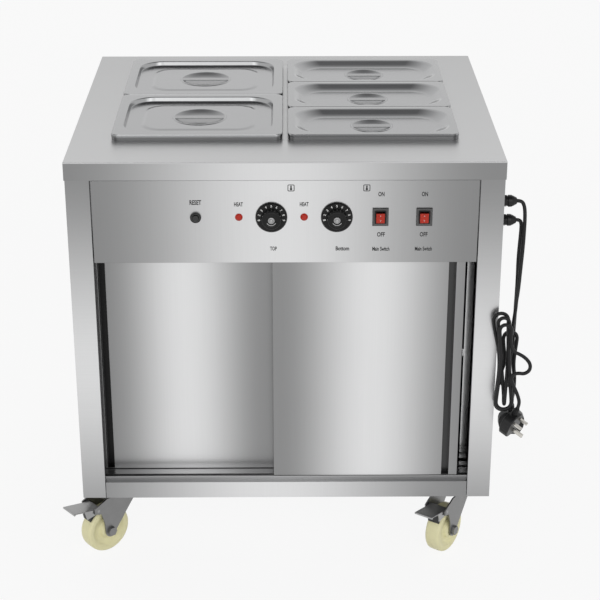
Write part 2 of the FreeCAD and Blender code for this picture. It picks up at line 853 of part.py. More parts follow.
def rocker(x):
    """Rocker that leans with its lower half pressed in."""
    w = rocker_width / 2
    h = rocker_height / 2
    front = front_y - bezel_depth - rocker_reach
    pivot = rocker_pivot_y()
    back = pivot + rocker_pin
    tilt = math.radians(rocker_tilt)
    dip = h * math.sin(tilt) / 2
    points = [V(x - w, front, -h), V(x - w, front + dip, 0), V(x - w, front, h), V(x - w, back, h / 2),
              V(x - w, back, -h / 2), V(x - w, front, -h)]
    body = Part.Face(Part.makePolygon(points)).extrude(V(2 * w, 0, 0))
    pw = w + rocker_play / 2 + 1.5
    body = body.fuse(rod(V(x - pw, pivot, 0), V(1, 0, 0), rocker_pin, 2 * pw)).removeSplitter()
    body.rotate(V(x, pivot, 0), V(1, 0, 0), rocker_tilt)
    body.translate(V(0, 0, controls_z))
    return body


def terminal_block_piece():
    length, depth, height = terminal_block
    x = half_x - 2 * post_width
    y = gland_y()
    return box(x - length, x, y - depth / 2, y + depth / 2, top_track_top, top_track_top + height)


# Castors: each is drawn over the origin with its trail along +X, then turned and moved to its corner

def castor_corners():
    return {
        "front_left": (-castor_x, -castor_y),
        "front_right": (castor_x, -castor_y),
        "rear_left": (-castor_x, castor_y),
        "rear_right": (castor_x, castor_y),
    }


def bolt_places(x, y):
    return [(x + sx * bolt_spacing_x / 2, y + sy * bolt_spacing_y / 2) for sx in (-1, 1) for sy in (-1, 1)]


def crown_top():
    return castor_height - plate_thickness - cup_height - race_gap


def castor_plates():
    plates = []
    up = V(0, 0, 1)
    for x, y in castor_corners().values():
        z = castor_height - plate_thickness
        plate = rounded_block(x - plate_length / 2, x + plate_length / 2, y - plate_width / 2,
                              y + plate_width / 2, plate_thickness * 2, z, castor_height)
        for bx, by in bolt_places(x, y):
            plate = plate.cut(rod(V(bx, by, z), up, bolt_hole, plate_thickness))
        cup = Part.makeCone(cup_diameter / 2 - cup_height / 2, cup_diameter / 2, cup_height, V(x, y, z - cup_height))
        pin_low = crown_top() - crown_height - crown_sheet
        pin = rod(V(x, y, pin_low), up, king_pin, z - pin_low)
        head = rod(V(x, y, pin_low - plate_thickness), up, king_pin * 1.8, plate_thickness)
        plates.append(unite([plate, cup, pin, head]))
    return Part.makeCompound(plates)


def castor_bolts():
    solids = []
    up = V(0, 0, 1)
    for x, y in castor_corners().values():
        for bx, by in bolt_places(x, y):
            low = castor_height - plate_thickness
            head = hexagon(V(bx, by, low), False, bolt_head, bolt_head_height)
            nut_low = castor_height + channel_sheet
            shank = rod(V(bx, by, low), up, bolt_diameter, nut_low + nut_height + 2 - low)
            nut = hexagon(V(bx, by, nut_low), True, bolt_head, nut_height)
            nut = nut.cut(rod(V(bx, by, nut_low), up, bolt_diameter, nut_height))
            solids.append(unite([head, shank]))
            solids.append(nut)
    return Part.makeCompound(solids)


def place_castor(shape, corner):
    x, y = castor_corners()[corner]
    shape = shape.copy()
    shape.rotate(V(0, 0, 0), V(0, 0, 1), castor_turns[corner])
    shape.translate(V(x, y, 0))
    return shape


def leg_plate(side):
    """One cheek of the fork, with the arm that carries the brake pedal."""
    top = crown_top() - crown_height
    inner = hub_width / 2 + leg_gap
    axle_z = wheel_diameter / 2
    px, pz = brake_pivot
    reach, above, below = leg_arm
    outline = [(-crown_back, top), (leg_front, top), (px + reach, pz + above), (px + reach, pz - below),
               (px - leg_arm_back[0], pz - leg_arm_back[1]), (castor_trail + leg_neck[0], axle_z + leg_neck[1]),
               (castor_trail + axle_end_radius, axle_z), (castor_trail - axle_end_radius, axle_z),
               (-leg_shoulder[0], leg_shoulder[1]), (-crown_back, top - leg_back_height)]
    points = [V(u, 0, z) for u, z in outline]
    points.append(points[0])
    plate = Part.Face(Part.makePolygon(points)).extrude(V(0, leg_sheet, 0))
    end = rod(V(castor_trail, 0, axle_z), V(0, 1, 0), 2 * axle_end_radius, leg_sheet)
    plate = plate.fuse(end).removeSplitter()
    plate.translate(V(0, inner if side > 0 else -inner - leg_sheet, 0))
    return plate


def castor_fork():
    up = V(0, 0, 1)
    across = V(0, 1, 0)
    top = crown_top()
    inner = hub_width / 2 + leg_gap
    outer = inner + leg_sheet
    axle_z = wheel_diameter / 2
    ring = rod(V(0, 0, top - crown_height), up, crown_diameter, crown_height)
    web = box(-crown_back, crown_front, -outer, outer, top - crown_height - crown_sheet, top - crown_height)
    fork = unite([ring, web, leg_plate(1), leg_plate(-1)])
    pin_hole = king_pin + 2 * running_gap
    fork = fork.cut(rod(V(0, 0, top - crown_height - crown_sheet), up, pin_hole, crown_height + crown_sheet))
    fork = fork.cut(rod(V(castor_trail, -2 * outer, axle_z), across, axle_diameter, 4 * outer))
    px, pz = brake_pivot
    fork = fork.cut(rod(V(px, -2 * outer, pz), across, brake_pivot_pin + 2 * running_gap, 4 * outer))
    axle = rod(V(castor_trail, -outer, axle_z), across, axle_diameter, 2 * outer)
    head = hexagon(V(0, 0, 0), True, axle_head, axle_head_height)
    head.rotate(V(0, 0, 0), V(1, 0, 0), -90)
    nut = head.copy()
    head.translate(V(castor_trail, outer, axle_z))
    nut.translate(V(castor_trail, -outer - axle_head_height, axle_z))
    return Part.makeCompound([fork, unite([axle, head, nut])])


def castor_wheel():
    across = V(0, 1, 0)
    axle_z = wheel_diameter / 2
    r = wheel_diameter / 2
    w = wheel_width / 2
    edge = wheel_edge
    tyre = [V(0, -w, 0), V(r - edge, -w, 0), V(r, -w + edge, 0), V(r, w - edge, 0), V(r - edge, w, 0),
            V(0, w, 0), V(0, -w, 0)]
    disc = Part.Face(Part.makePolygon(tyre)).revolve(V(0, 0, 0), V(0, 1, 0), 360)
    dish_outer = 2 * (r - rim_depth)
    depth = (wheel_width - web_width) / 2
    for y in (-w, w - depth):
        ring = rod(V(0, y, 0), across, dish_outer, depth).cut(rod(V(0, y, 0), across, hub_diameter, depth))
        disc = disc.cut(ring)
    hub = rod(V(0, -hub_width / 2, 0), across, hub_diameter, hub_width)
    wheel = disc.fuse(hub).cut(rod(V(0, -hub_width, 0), across, axle_diameter + 2 * running_gap, 2 * hub_width))
    wheel = wheel.removeSplitter()
    wheel.translate(V(castor_trail, 0, axle_z))
    return wheel


def castor_brake():
    across = V(0, 1, 0)
    px, pz = brake_pivot
    half = hub_width / 2 + leg_gap - brake_side_gap
    axle_z = wheel_diameter / 2
    top_line = [(-pedal_back[0], pedal_back[1]), pedal_knee, pedal_edge,
                (pedal_edge[0] + pedal_lip[0], pedal_edge[1] + pedal_lip[1])]
    profile = [V(px + u, 0, pz + z) for u, z in top_line]
    profile += [V(px + u, 0, pz + z - brake_sheet) for u, z in reversed(top_line)]
    profile.append(profile[0])
    plate = Part.Face(Part.makePolygon(profile)).extrude(V(0, 2 * half, 0))
    plate.translate(V(0, -half, 0))
    lap = brake_sheet / 2
    outline = [(-pedal_back[0], pedal_back[1] - lap), (pedal_knee[0], pedal_knee[1] - lap),
               cheek_front, (cheek_toe[0], -cheek_toe[1]),
               (cheek_heel[0], -cheek_heel[1]), (-pedal_back[0], -cheek_back_drop)]
    cheek = [V(px + u, 0, pz + z) for u, z in outline]
    cheek.append(cheek[0])
    solids = [plate]
    for y in (-half, half - brake_sheet):
        side = Part.Face(Part.makePolygon(cheek)).extrude(V(0, brake_sheet, 0))
        side.translate(V(0, y, 0))
        solids.append(side)
    pin_half = half + brake_side_gap + leg_sheet
    solids.append(rod(V(px, -pin_half, pz), across, brake_pivot_pin, 2 * pin_half))
    pedal = unite(solids)
    # the rubber runs from beside the tread up to the underside of the pedal plate
    r0 = wheel_diameter / 2 + brake_rubber_gap
    low = []
    for degrees in (brake_rubber_angles[0], sum(brake_rubber_angles) / 2, brake_rubber_angles[1]):
        a = math.radians(degrees)
        low.append(V(castor_trail + r0 * math.cos(a), 0, axle_z + r0 * math.sin(a)))
    knee = V(px + pedal_knee[0], 0, pz + pedal_knee[1] - lap)
    rise = (pedal_edge[1] - pedal_knee[1]) / (pedal_edge[0] - pedal_knee[0])
    fall = (pedal_knee[1] - pedal_back[1]) / (pedal_knee[0] + pedal_back[0])
    inner, outer = (reach - pedal_knee[0] for reach in brake_rubber_top)
    top = [knee + V(inner, 0, inner * fall), knee, knee + V(outer, 0, outer * rise), low[0]]
    sides = [Part.LineSegment(p, q).toShape() for p, q in zip([low[2]] + top, top)]
    rubber = Part.Face(Part.Wire([Part.Arc(low[0], low[1], low[2]).toShape()] + sides))
    block = rubber.extrude(V(0, brake_rubber_width, 0))
    block.translate(V(0, -brake_rubber_width / 2, 0))
    return Part.makeCompound([pedal, block.cut(pedal)])


# Cable glands, cords and plugs

def gland_y():
    return -top_depth / 2 + gland_set_back


def gland_z(i):
    return work_height - gland_drops[i]


def gland(i):
    """Gland whose seal closes round the lead, which starts at its outer face."""
    out = V(1, 0, 0)
    y = gland_y()
    z = gland_z(i)
    wall = half_x - body_sheet
    thread = rod(V(half_x - gland_inside, y, z), out, gland_thread, gland_inside + gland_reach / 2)
    collar = hexagon(V(0, 0, 0), True, gland_diameter, gland_reach * 0.3)
    collar.rotate(V(0, 0, 0), V(0, 1, 0), 90)
    collar.translate(V(half_x, y, z))
    dome_start = half_x + gland_reach * 0.3
    straight = rod(V(dome_start, y, z), out, gland_diameter, gland_reach * 0.35)
    dome = Part.makeCone(gland_diameter / 2, cord_diameter / 2 + 2.5, gland_reach * 0.35,
                         V(dome_start + gland_reach * 0.35, y, z), out)
    nut = hexagon(V(0, 0, 0), True, gland_diameter, gland_inside / 3)
    nut.rotate(V(0, 0, 0), V(0, 1, 0), -90)
    nut.translate(V(wall, y, z))
    body = unite([thread, collar, straight, dome, nut])
    return body.cut(rod(V(half_x - gland_inside, y, z), out, cord_diameter, gland_inside + gland_reach / 2))


def line(p, q):
    return Part.LineSegment(p, q).toShape()


def middle_of_arc(p, tangent, q):
    """Middle of the arc that leaves p along tangent and ends at q, or None where they are in one line."""
    chord = q - p
    side = chord - tangent * chord.dot(tangent)
    if side.Length < 1e-4:
        return None
    radius = chord.Length ** 2 / (2 * side.Length)
    centre = p + side.normalize() * radius
    towards = (p + q) * 0.5 - centre
    return centre + towards.normalize() * radius


def arc_or_line(p, middle, q):
    return line(p, q) if middle is None else Part.Arc(p, middle, q).toShape()


def biarc(p0, t0, p1, t1):
    """Two tangent arcs from p0, along t0, to p1, along t1."""
    v = p1 - p0
    along = v.dot(t0 + t1)
    spread = 2 * (1 - t0.dot(t1))
    if spread < 1e-6:
        reach = v.dot(v) / (4 * v.dot(t1))
    else:
        reach = (math.sqrt(along ** 2 + spread * v.dot(v)) - along) / spread
    joint = (p0 + p1 + (t0 - t1) * reach) * 0.5
    return [arc_or_line(p0, middle_of_arc(p0, t0, joint), joint),
            arc_or_line(joint, middle_of_arc(p1, t1 * -1, joint), p1)]


def rounded_path(points, closeness=0.45):
    """Straight runs joined by tangent arcs, each as large as its two runs allow."""
    edges = []
    radii = []
    last = points[0]
    for i in range(1, len(points) - 1):
        into = points[i] - points[i - 1]
        out = points[i + 1] - points[i]
        short = closeness * min(into.Length, out.Length)
        into.normalize()
        out.normalize()
        turn = into.getAngle(out)
        radii.append(short / math.tan(turn / 2))
        start = points[i] - into * short
        end = points[i] + out * short
        inward = (out - into).normalize()
        centre = points[i] + inward * (radii[-1] / math.cos(turn / 2))
        middle = centre - inward * radii[-1]
        edges.append(line(last, start))
        edges.append(Part.Arc(start, middle, end).toShape())
        last = end
    edges.append(line(last, points[-1]))
    return edges, radii


def sweep(edges, diameter, name):
    """Round tube along the edges; prints its volume against its section times its length."""
    path = Part.Wire(edges)
    tube = bent_tube(path, diameter)
    ideal = math.pi * diameter ** 2 / 4 * path.Length
    print("%s: length %.0f mm, volume over section times length %.4f" % (name, path.Length, tube.Volume / ideal))
    return tube


def points_along(edges, step):
    """Points along the edges, each with its distance from the start."""
    points = []
    start = 0.0
    for edge in edges:
        count = max(2, int(edge.Length / step) + 2)
        for i, p in enumerate(edge.discretize(count)[:-1]):
            points.append((start + edge.Length * i / (count - 1), p))
        start += edge.Length
    return points


def least_self_gap(edges, diameter):
    """Least clear gap of a wound tube to itself, measured on points along its middle line."""
    points = points_along(edges, 2.0)
    best = 1e9
    for i, (s, p) in enumerate(points):
        for r, q in points[i + 1:]:
            if r - s > 3.5 * diameter:
                best = min(best, p.distanceToPoint(q))
    return best - diameter


def hank_edges(start, tops, lows, waist, ends_low):
    """Upright loops one before the other, drawn in at the waist; each climbs along its right-hand run.

    A loop's top is (middle, height, half width) and its low end the same with True where it lies turned
    edge on; waist is (left, right, height).
    """
    down = V(0, 0, -1)
    up = V(0, 0, 1)
    p = start + down * cord_diameter
    edges = [line(start, p)]
    t = down
    y = start.y
    for k in range(len(lows)):
        front = y - hank_step
        low_x, low_z, low_half, turned = lows[k]
        reach = V(0, -low_half, 0) if turned else V(low_half, 0, 0)
        low = V(low_x, front, low_z + low_half)
        climb = V(0, -1.5 * hank_step, low.z - p.z).normalize()
        stations = [(V(waist[1], (y + front) / 2, waist[2]), climb), (low + reach, down)]
        if not (ends_low and k == len(lows) - 1):
            x, top, half = tops[k]
            stations += [
                (V(low_x, front, low_z), reach * (-1 / low_half)),
                (low - reach, up),
                (V(waist[0], front, waist[2]), up),
                (V(x - half, front, top - half), up),
                (V(x, front, top), V(1, 0, 0)),
                (V(x + half, front, top - half), down),
            ]
        for q, direction in stations:
            edges.extend(biarc(p, t, q, direction))
            p = q
            t = direction
        y = front
    edges.append(line(p, p + down * cord_diameter))
    return edges, p + down * cord_diameter


def hank_upper_edges():
    tops = ((408.0, 551.0, 14.0), (412.5, 545.5, 10.5), (415.5, 535.0, 11.0))
    lows = ((420.5, 346.0, 15.5, False), (420.8, 364.0, 7.5, True), (419.3, 356.5, 15.0, False))
    return hank_edges(V(436, -362, 556), tops, lows, (411.3, 425.0, 455.0), False)


def hank_lower_edges():
    tops = ((433.0, 495.0, 13.0), (432.0, 498.0, 13.0), (430.5, 502.0, 13.0))
    lows = ((430.5, 382.0, 14.0, False), (429.5, 385.0, 14.0, False), (428.5, 388.0, 14.0, False),
            (428.0, 388.0, 14.0, False))
    return hank_edges(V(441, -323.2, 530), tops, lows, (424.0, 438.5, 440.0), True)


def cord_upper_routes():
    """Route of the upper lead from its gland to its hank, and from the hank to its plug."""
    first = [
        V(half_x + gland_reach, gland_y(), gland_z(0)), V(440.5, -325, 761), V(446, -326.5, 753.5),
        V(448, -330, 738), V(448, -333, 712), V(446.8, -336, 670), V(443.5, -343, 628), V(440, -354, 592),
        V(436, -362, 571), V(436, -362, 556),
    ]
    end = hank_upper_edges()[1]
    second = [
        end, V(end.x, end.y, 504), V(428, -390.5, 490.5), V(433.5, -394.5, 481), V(444, -395.6, 477),
        V(456, -395.6, 468.5), V(465, -395.6, 456.5), V(464.5, -395.6, 443), V(454.5, -395.6, 435.5),
        V(442.5, -395.6, 437.5), V(432.5, -395.6, 435), V(429.5, -395.6, 425), V(433.5, -395.6, 413),
        V(439, -395.6, 402), V(444.5, -396.8, 389), plug_cord_end(0, 13.0), plug_cord_end(0),
    ]
    return first, second


def cord_lower_routes():
    first = [
        V(half_x + gland_reach, gland_y(), gland_z(1)), V(438.5, -325, 723), V(442.5, -325, 717.5),
        V(443, -325.5, 706), V(442, -326, 684), V(440.5, -325.5, 644), V(441.6, -324, 602),
        V(441.3, -323.5, 566), V(441, -323.2, 548), V(441, -323.2, 530),
    ]
    end = hank_lower_edges()[1]
    second = [
        end, V(end.x, end.y, 384), V(442.5, -350.5, 372), V(443, -341, 361), V(443.5, -332, 351.5),
        plug_cord_end(1),
    ]
    return first, second


def cord(routes, name):
    solids = []
    for i, points in enumerate(routes):
        edges, radii = rounded_path(points)
        print("%s part %d radii:" % (name, i + 1), [round(r, 1) for r in radii])
        solids.append(sweep(edges, cord_diameter, name))
    return Part.makeCompound(solids)


def hank(edges, name):
    print("%s: least gap to itself %.2f mm" % (name, least_self_gap(edges, cord_diameter)))
    return sweep(edges, cord_diameter, name)


def plug_frames():
    """Middle of each plug's body, the way of its cord and the way of its pins."""
    return (
        (V(435.5, -385, 325), V(0.25, -0.25, 0.935), V(0.737, -0.577, -0.351)),
        (V(443.5, -332, 300), V(0, 0, 1), V(0, 1, 0)),
    )


def plug_cord_end(i, beyond=0.0):
    centre, cord_way, pin_way = plug_frames()[i]
    return centre + cord_way.normalize() * (plug_height / 2 + plug_relief + beyond)


def plug(i):
    """Three-pin plug: rounded body, tapered strain relief and its pins."""
    centre, cord_way, pin_way = plug_frames()[i]
    cord_way.normalize()
    sideways = pin_way.cross(cord_way).normalize()
    pin_way = cord_way.cross(sideways)
    w = plug_width / 2
    h = plug_height / 2
    t = plug_thickness / 2
    outline = [V(-w * 0.62, -t, -h), V(w * 0.62, -t, -h), V(w, -t, -h * 0.3), V(w, -t, h * 0.55), V(w * 0.55, -t, h),
               V(-w * 0.55, -t, h), V(-w, -t, h * 0.55), V(-w, -t, -h * 0.3)]
    outline.append(outline[0])
    body = Part.Face(Part.makePolygon(outline)).extrude(V(0, 2 * t, 0))
    rim = [e for e in body.Edges if e.BoundBox.YLength < 0.01]
    body = body.makeFillet(plug_edge, rim)
    relief = Part.makeCone(relief_ends[0], relief_ends[1], plug_relief, V(0, 0, h))
    solids = [unite([body, relief])]
    places = [(0, -earth_pin_place, earth_pin)]
    places += [(side * pin_spacing / 2, pin_spacing - earth_pin_place, live_pin) for side in (-1, 1)]
    for x, z, (across, thick, length) in places:
        solids.append(box(x - across / 2, x + across / 2, t, t + length, z - thick / 2, z + thick / 2))
    piece = Part.makeCompound(solids)
    piece.Placement = FreeCAD.Placement(FreeCAD.Matrix(
        sideways.x, pin_way.x, cord_way.x, centre.x,
        sideways.y, pin_way.y, cord_way.y, centre.y,
        sideways.z, pin_way.z, cord_way.z, centre.z,
        0, 0, 0, 1))
    return piece


# Pieces, one file each

pieces = {
    "worktop": worktop(),
    "pan_bars": pan_bars(),
    "well_tank": well_tank(),
    "tank_element": tank_element(),
    "tank_insulation": tank_insulation(),
    "side_panel_left": side_panel(-1),
    "side_panel_right": side_panel(1),
    "back_panel": back_panel(),
    "base_tray": base_tray(),
    "chassis_rails": chassis_rails(),
    "cupboard_liner": cupboard_liner(),
    "cupboard_shelf": cupboard_shelf(),
    "cupboard_element": cupboard_element(),
    "bottom_track": bottom_track(),
    "top_track": top_track(),
    "door_left": door(rear_door_y, left_door_edge, -1),
    "door_right": door(front_door_y, right_door_edge, 1),
    "control_panel": control_panel(),
    "thermostats": thermostats(),
    "knob_top": knob(knob_x[0]),
    "knob_bottom": knob(knob_x[1]),
    "indicator_lamps": indicator_lamps(),
    "reset_cutout": reset_cutout(),
    "reset_button": reset_button(),
    "switch_housings": switch_housings(),
    "rocker_main": rocker(switch_x[0]),
    "rocker_second": rocker(switch_x[1]),
    "terminal_block": terminal_block_piece(),
    "castor_plates": castor_plates(),
    "castor_bolts": castor_bolts(),
    "gland_upper": gland(0),
    "gland_lower": gland(1),
    "cord_upper": cord(cord_upper_routes(), "cord_upper"),
    "cord_lower": cord(cord_lower_routes(), "cord_lower"),
    "hank_upper": hank(hank_upper_edges()[0], "hank_upper"),
    "hank_lower": hank(hank_lower_edges()[0], "hank_lower"),
    "plug_upper": plug(0),
    "plug_lower": plug(1),
}
for row_name, left, front, width, border, dish in pan_rows():
    pieces["pan_" + row_name] = pan(left, front, width)
    pieces["lid_" + row_name] = lid(left, front, width, border, dish)
for corner in castor_corners():
    pieces["castor_fork_" + corner] = place_castor(castor_fork(), corner)
    pieces["castor_wheel_" + corner] = place_castor(castor_wheel(), corner)
    pieces["castor_brake_" + corner] = place_castor(castor_brake(), corner)

os.makedirs("parts", exist_ok=True)
for name, shape in pieces.items():
    if not shape.isValid():
        print("not valid:", name)
    shape.exportStep("parts/%s.step" % name)
print(len(pieces), "pieces")
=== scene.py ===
# Heated serving trolley: its finishes, detailed pieces, leads, light and camera.
# Sizes are millimetres, as on the part's drawing; a mesh is brought to metres when it is finished.
import bmesh
import bpy
import math
from mathutils import Matrix, Vector


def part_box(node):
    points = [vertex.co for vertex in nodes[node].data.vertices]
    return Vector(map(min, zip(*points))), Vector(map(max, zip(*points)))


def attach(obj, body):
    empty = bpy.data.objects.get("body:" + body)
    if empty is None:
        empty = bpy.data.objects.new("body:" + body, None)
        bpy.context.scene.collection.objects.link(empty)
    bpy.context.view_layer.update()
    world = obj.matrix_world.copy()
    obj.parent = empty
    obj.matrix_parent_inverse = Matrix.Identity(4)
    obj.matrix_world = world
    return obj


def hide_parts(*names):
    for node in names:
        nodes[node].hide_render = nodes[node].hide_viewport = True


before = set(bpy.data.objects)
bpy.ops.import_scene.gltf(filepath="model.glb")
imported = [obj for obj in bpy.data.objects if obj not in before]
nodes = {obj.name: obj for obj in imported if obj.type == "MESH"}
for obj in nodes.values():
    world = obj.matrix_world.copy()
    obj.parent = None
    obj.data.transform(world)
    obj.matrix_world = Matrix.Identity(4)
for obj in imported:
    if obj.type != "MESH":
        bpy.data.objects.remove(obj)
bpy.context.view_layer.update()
mm = 0.001


def nodeBox(name):
    low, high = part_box(name)
    return low / mm, high / mm


# Camera

shot = {"place": (5.1, -3222.1, 1837.2), "pitch": 23.79, "yaw": 0.44, "lens": 99.32}


def makeCamera():
    data = bpy.data.cameras.new("camera")
    data.lens = shot["lens"]
    data.sensor_width = 36
    data.clip_end = 60
    camera = bpy.data.objects.new("camera", data)
    camera.location = Vector(shot["place"]) * mm
    camera.rotation_euler = (math.radians(90 - shot["pitch"]), 0, -math.radians(shot["yaw"]))
    bpy.context.scene.collection.objects.link(camera)
    bpy.context.scene.camera = camera


makeCamera()
print("camera placed")


# Shader nodes written as expressions

class Wire:
    # an output of a shader node; arithmetic on it adds Math nodes
    def __init__(self, finish, socket):
        self.finish = finish
        self.socket = socket

    def calc(self, operation, *values):
        sockets = {place: value for place, value in enumerate(values)}
        return self.finish.node("Math", {"operation": operation}, sockets)

    def __add__(self, other):
        return self.calc("ADD", self, other)

    __radd__ = __add__

    def __sub__(self, other):
        return self.calc("SUBTRACT", self, other)

    def __rsub__(self, other):
        return self.calc("SUBTRACT", other, self)

    def __mul__(self, other):
        return self.calc("MULTIPLY", self, other)

    __rmul__ = __mul__

    def __pow__(self, other):
        return self.calc("POWER", self, other)

    def __abs__(self):
        return self.calc("ABSOLUTE", self)

    def cosine(self):
        return self.calc("COSINE", self)

    def clamped(self):
        return self.calc("MINIMUM", self.calc("MAXIMUM", self, 0.0), 1.0)


class Finish:
    # one material and its nodes
    def __init__(self, name, **constants):
        self.material = bpy.data.materials.new(name)
        self.material.use_nodes = True
        self.tree = self.material.node_tree
        self.shader = self.tree.nodes["Principled BSDF"]
        self.place = Wire(self, self.node("TexCoord").socket.node.outputs["Object"])
        for name, value in constants.items():
            self.put(name, value)

    def node(self, kind, settings=None, sockets=None, output=0):
        made = self.tree.nodes.new("ShaderNode" + kind)
        for name, value in (settings or {}).items():
            setattr(made, name, value)
        for name, value in (sockets or {}).items():
            self.feed(made.inputs[name], value)
        return Wire(self, made.outputs[output])

    def feed(self, socket, value):
        if isinstance(value, Wire):
            self.tree.links.new(value.socket, socket)
        elif socket.type == "RGBA" and len(value) == 3:
            socket.default_value = (*value, 1)
        else:
            socket.default_value = value

    def put(self, name, value):
        # a constant's name is written without its spaces, as in CoatWeight
        for socket in self.shader.inputs:
            if socket.name.replace(" ", "") == name:
                self.feed(socket, value)

    def mix(self, factor, first, second):
        return self.node("Mix", {"data_type": "RGBA"}, {0: factor, 6: first, 7: second}, 2)

    def axis(self, letter):
        split = self.node("SeparateXYZ", {}, {0: self.place})
        return Wire(self, split.socket.node.outputs[letter])

    def stretched(self, stretch):
        return self.node("Mapping", {}, {"Vector": self.place, "Scale": stretch})

    def noise(self, vector, scale=1.0, detail=2.0, roughness=0.5):
        sockets = {"Vector": vector, "Scale": scale, "Detail": detail, "Roughness": roughness}
        return self.node("TexNoise", {}, sockets)

    def bump(self, height, strength, distance):
        sockets = {"Height": height, "Strength": strength, "Distance": distance}
        self.put("Normal", self.node("Bump", {}, sockets))


# Leads: the route's points are those of the drawing, and a hank's turns are worked out

hankStep = 8.6
loopCorner = math.tan(math.radians(22.5))
loopPoints = ((1, 0.6), (1, -loopCorner), (loopCorner, -1), (-loopCorner, -1), (-1, -loopCorner), (-1, 0.6))
leadSizes = {"diameter": 7.0, "roundness": 4, "smoothness": 8}
upperLead = {
    "down": [(432.5, -325, 761), (440.5, -325, 761), (446, -326.5, 753.5), (448, -330, 738), (448, -333, 712),
             (446.8, -336, 670), (443.5, -343, 628), (440, -354, 592), (436, -362, 571), (436, -362, 556)],
    "tops": [(408, 551, 14), (412.5, 545.5, 10.5), (415.5, 535, 11)],
    "lows": [(420.5, 346, 15.5, False), (420.8, 364, 7.5, True), (419.3, 356.5, 15, False)],
    "waist": (411.3, 425, 455),
    "onward": [(426.5, -387.8, 504), (428, -390.5, 490.5), (433.5, -394.5, 481), (444, -395.6, 477),
               (456, -395.6, 468.5), (465, -395.6, 456.5), (464.5, -395.6, 443), (454.5, -395.6, 435.5),
               (442.5, -395.6, 437.5), (432.5, -395.6, 435), (429.5, -395.6, 425), (433.5, -395.6, 413),
               (439, -395.6, 402), (444.5, -396.8, 389), (448.5, -398, 373.6), (445.25, -394.75, 361.5)],
    "length": 1.68,
}
lowerLead = {
    "down": [(432.5, -325, 723), (438.5, -325, 723), (442.5, -325, 717.5), (443, -325.5, 706),
             (442, -326, 684), (440.5, -325.5, 644), (441.6, -324, 602), (441.3, -323.5, 566),
             (441, -323.2, 548), (441, -323.2, 530)],
    "tops": [(433, 495, 13), (432, 498, 13), (430.5, 502, 13)],
    "lows": [(430.5, 382, 14, False), (429.5, 385, 14, False), (428.5, 388, 14, False),
             (428, 388, 14, False)],
    "waist": (424, 438.5, 440),
    "onward": [(442, -357.6, 395), (442, -357.6, 384), (442.5, -350.5, 372), (443, -341, 361),
               (443.5, -332, 351.5), (443.5, -332, 339)],
    "length": 1.18,
}


def loopEnd(middle, half, edgeOn, way):
    # control points round one end of a loop: way is -1 at its low end and 1 at its top
    points = []
    for across, down in loopPoints:
        shift = -way * across * half
        x = 0 if edgeOn else shift
        y = -shift if edgeOn else 0
        points.append((middle[0] + x, middle[1] + y, middle[2] - way * down * half))
    return points


def hankTurns(lead):
    points = []
    y = lead["down"][-1][1]
    left, right, height = lead["waist"]
    for turn, (x, low, half, edgeOn) in enumerate(lead["lows"]):
        front = y - hankStep
        points.append((right, (y + front) / 2, height))
        lowEnd = loopEnd((x, front, low + half), half, edgeOn, -1)
        if turn == len(lead["tops"]):
            points.append(lowEnd[0])
            break
        x, top, half = lead["tops"][turn]
        points += lowEnd + [(left, front, height)] + loopEnd((x, front, top - half), half, False, 1)
        y = front
    return points


def makeLead(name, lead, material):
    route = lead["down"] + hankTurns(lead) + lead["onward"]
    curve = bpy.data.curves.new(name, "CURVE")
    curve.dimensions = "3D"
    curve.bevel_depth = leadSizes["diameter"] / 2 * mm
    curve.bevel_resolution = leadSizes["roundness"]
    curve.resolution_u = leadSizes["smoothness"]
    curve.use_fill_caps = True
    spline = curve.splines.new("NURBS")
    spline.points.add(len(route) - 1)
    for point, place in zip(spline.points, route):
        point.co = (*(Vector(place) * mm), 1)
    spline.order_u = 3
    spline.use_endpoint_u = True
    curve.materials.append(material)
    piece = bpy.data.objects.new(name, curve)
    bpy.context.scene.collection.objects.link(piece)
    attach(piece, "cabinet")
    return piece


def rubberFinish():
    finish = Finish("lead_rubber", Roughness=0.38, SpecularIORLevel=0.3)
    mottle = finish.noise(finish.place, 60, 3)
    finish.put("BaseColor", finish.mix(mottle, (0.006, 0.006, 0.006), (0.012, 0.012, 0.013)))
    finish.bump(finish.noise(finish.place, 900, 2), 0.12, 0.0003)
    return finish.material


leadRubber = rubberFinish()
upper = makeLead("lead_upper", upperLead, leadRubber)
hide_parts("cord_upper", "hank_upper")
lower = makeLead("lead_lower", lowerLead, leadRubber)
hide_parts("cord_lower", "hank_lower")
print("leads made")


# Floor, backdrop colour and lamps

studio = {
    "floorReach": 12000,
    "floorTone": (0.86, 0.86, 0.86),
    "floorSeen": 0.88,
    "pale": (0.97, 0.97, 0.97, 1),
    "dark": (0.14, 0.14, 0.145, 1),
    "heights": (0.46, 0.76),
    "depths": (0.7, 0.1),
    "sun": {"strength": 0.36, "softness": 44, "turn": (62, 0, 4)},
    "lamps": (("key", (-1350, -3300, 2450)), ("fill", (1450, -3300, 2450))),
    "lampSize": 1800,
    "lampPower": 6,
    "aim": (0, 0, 500),
}


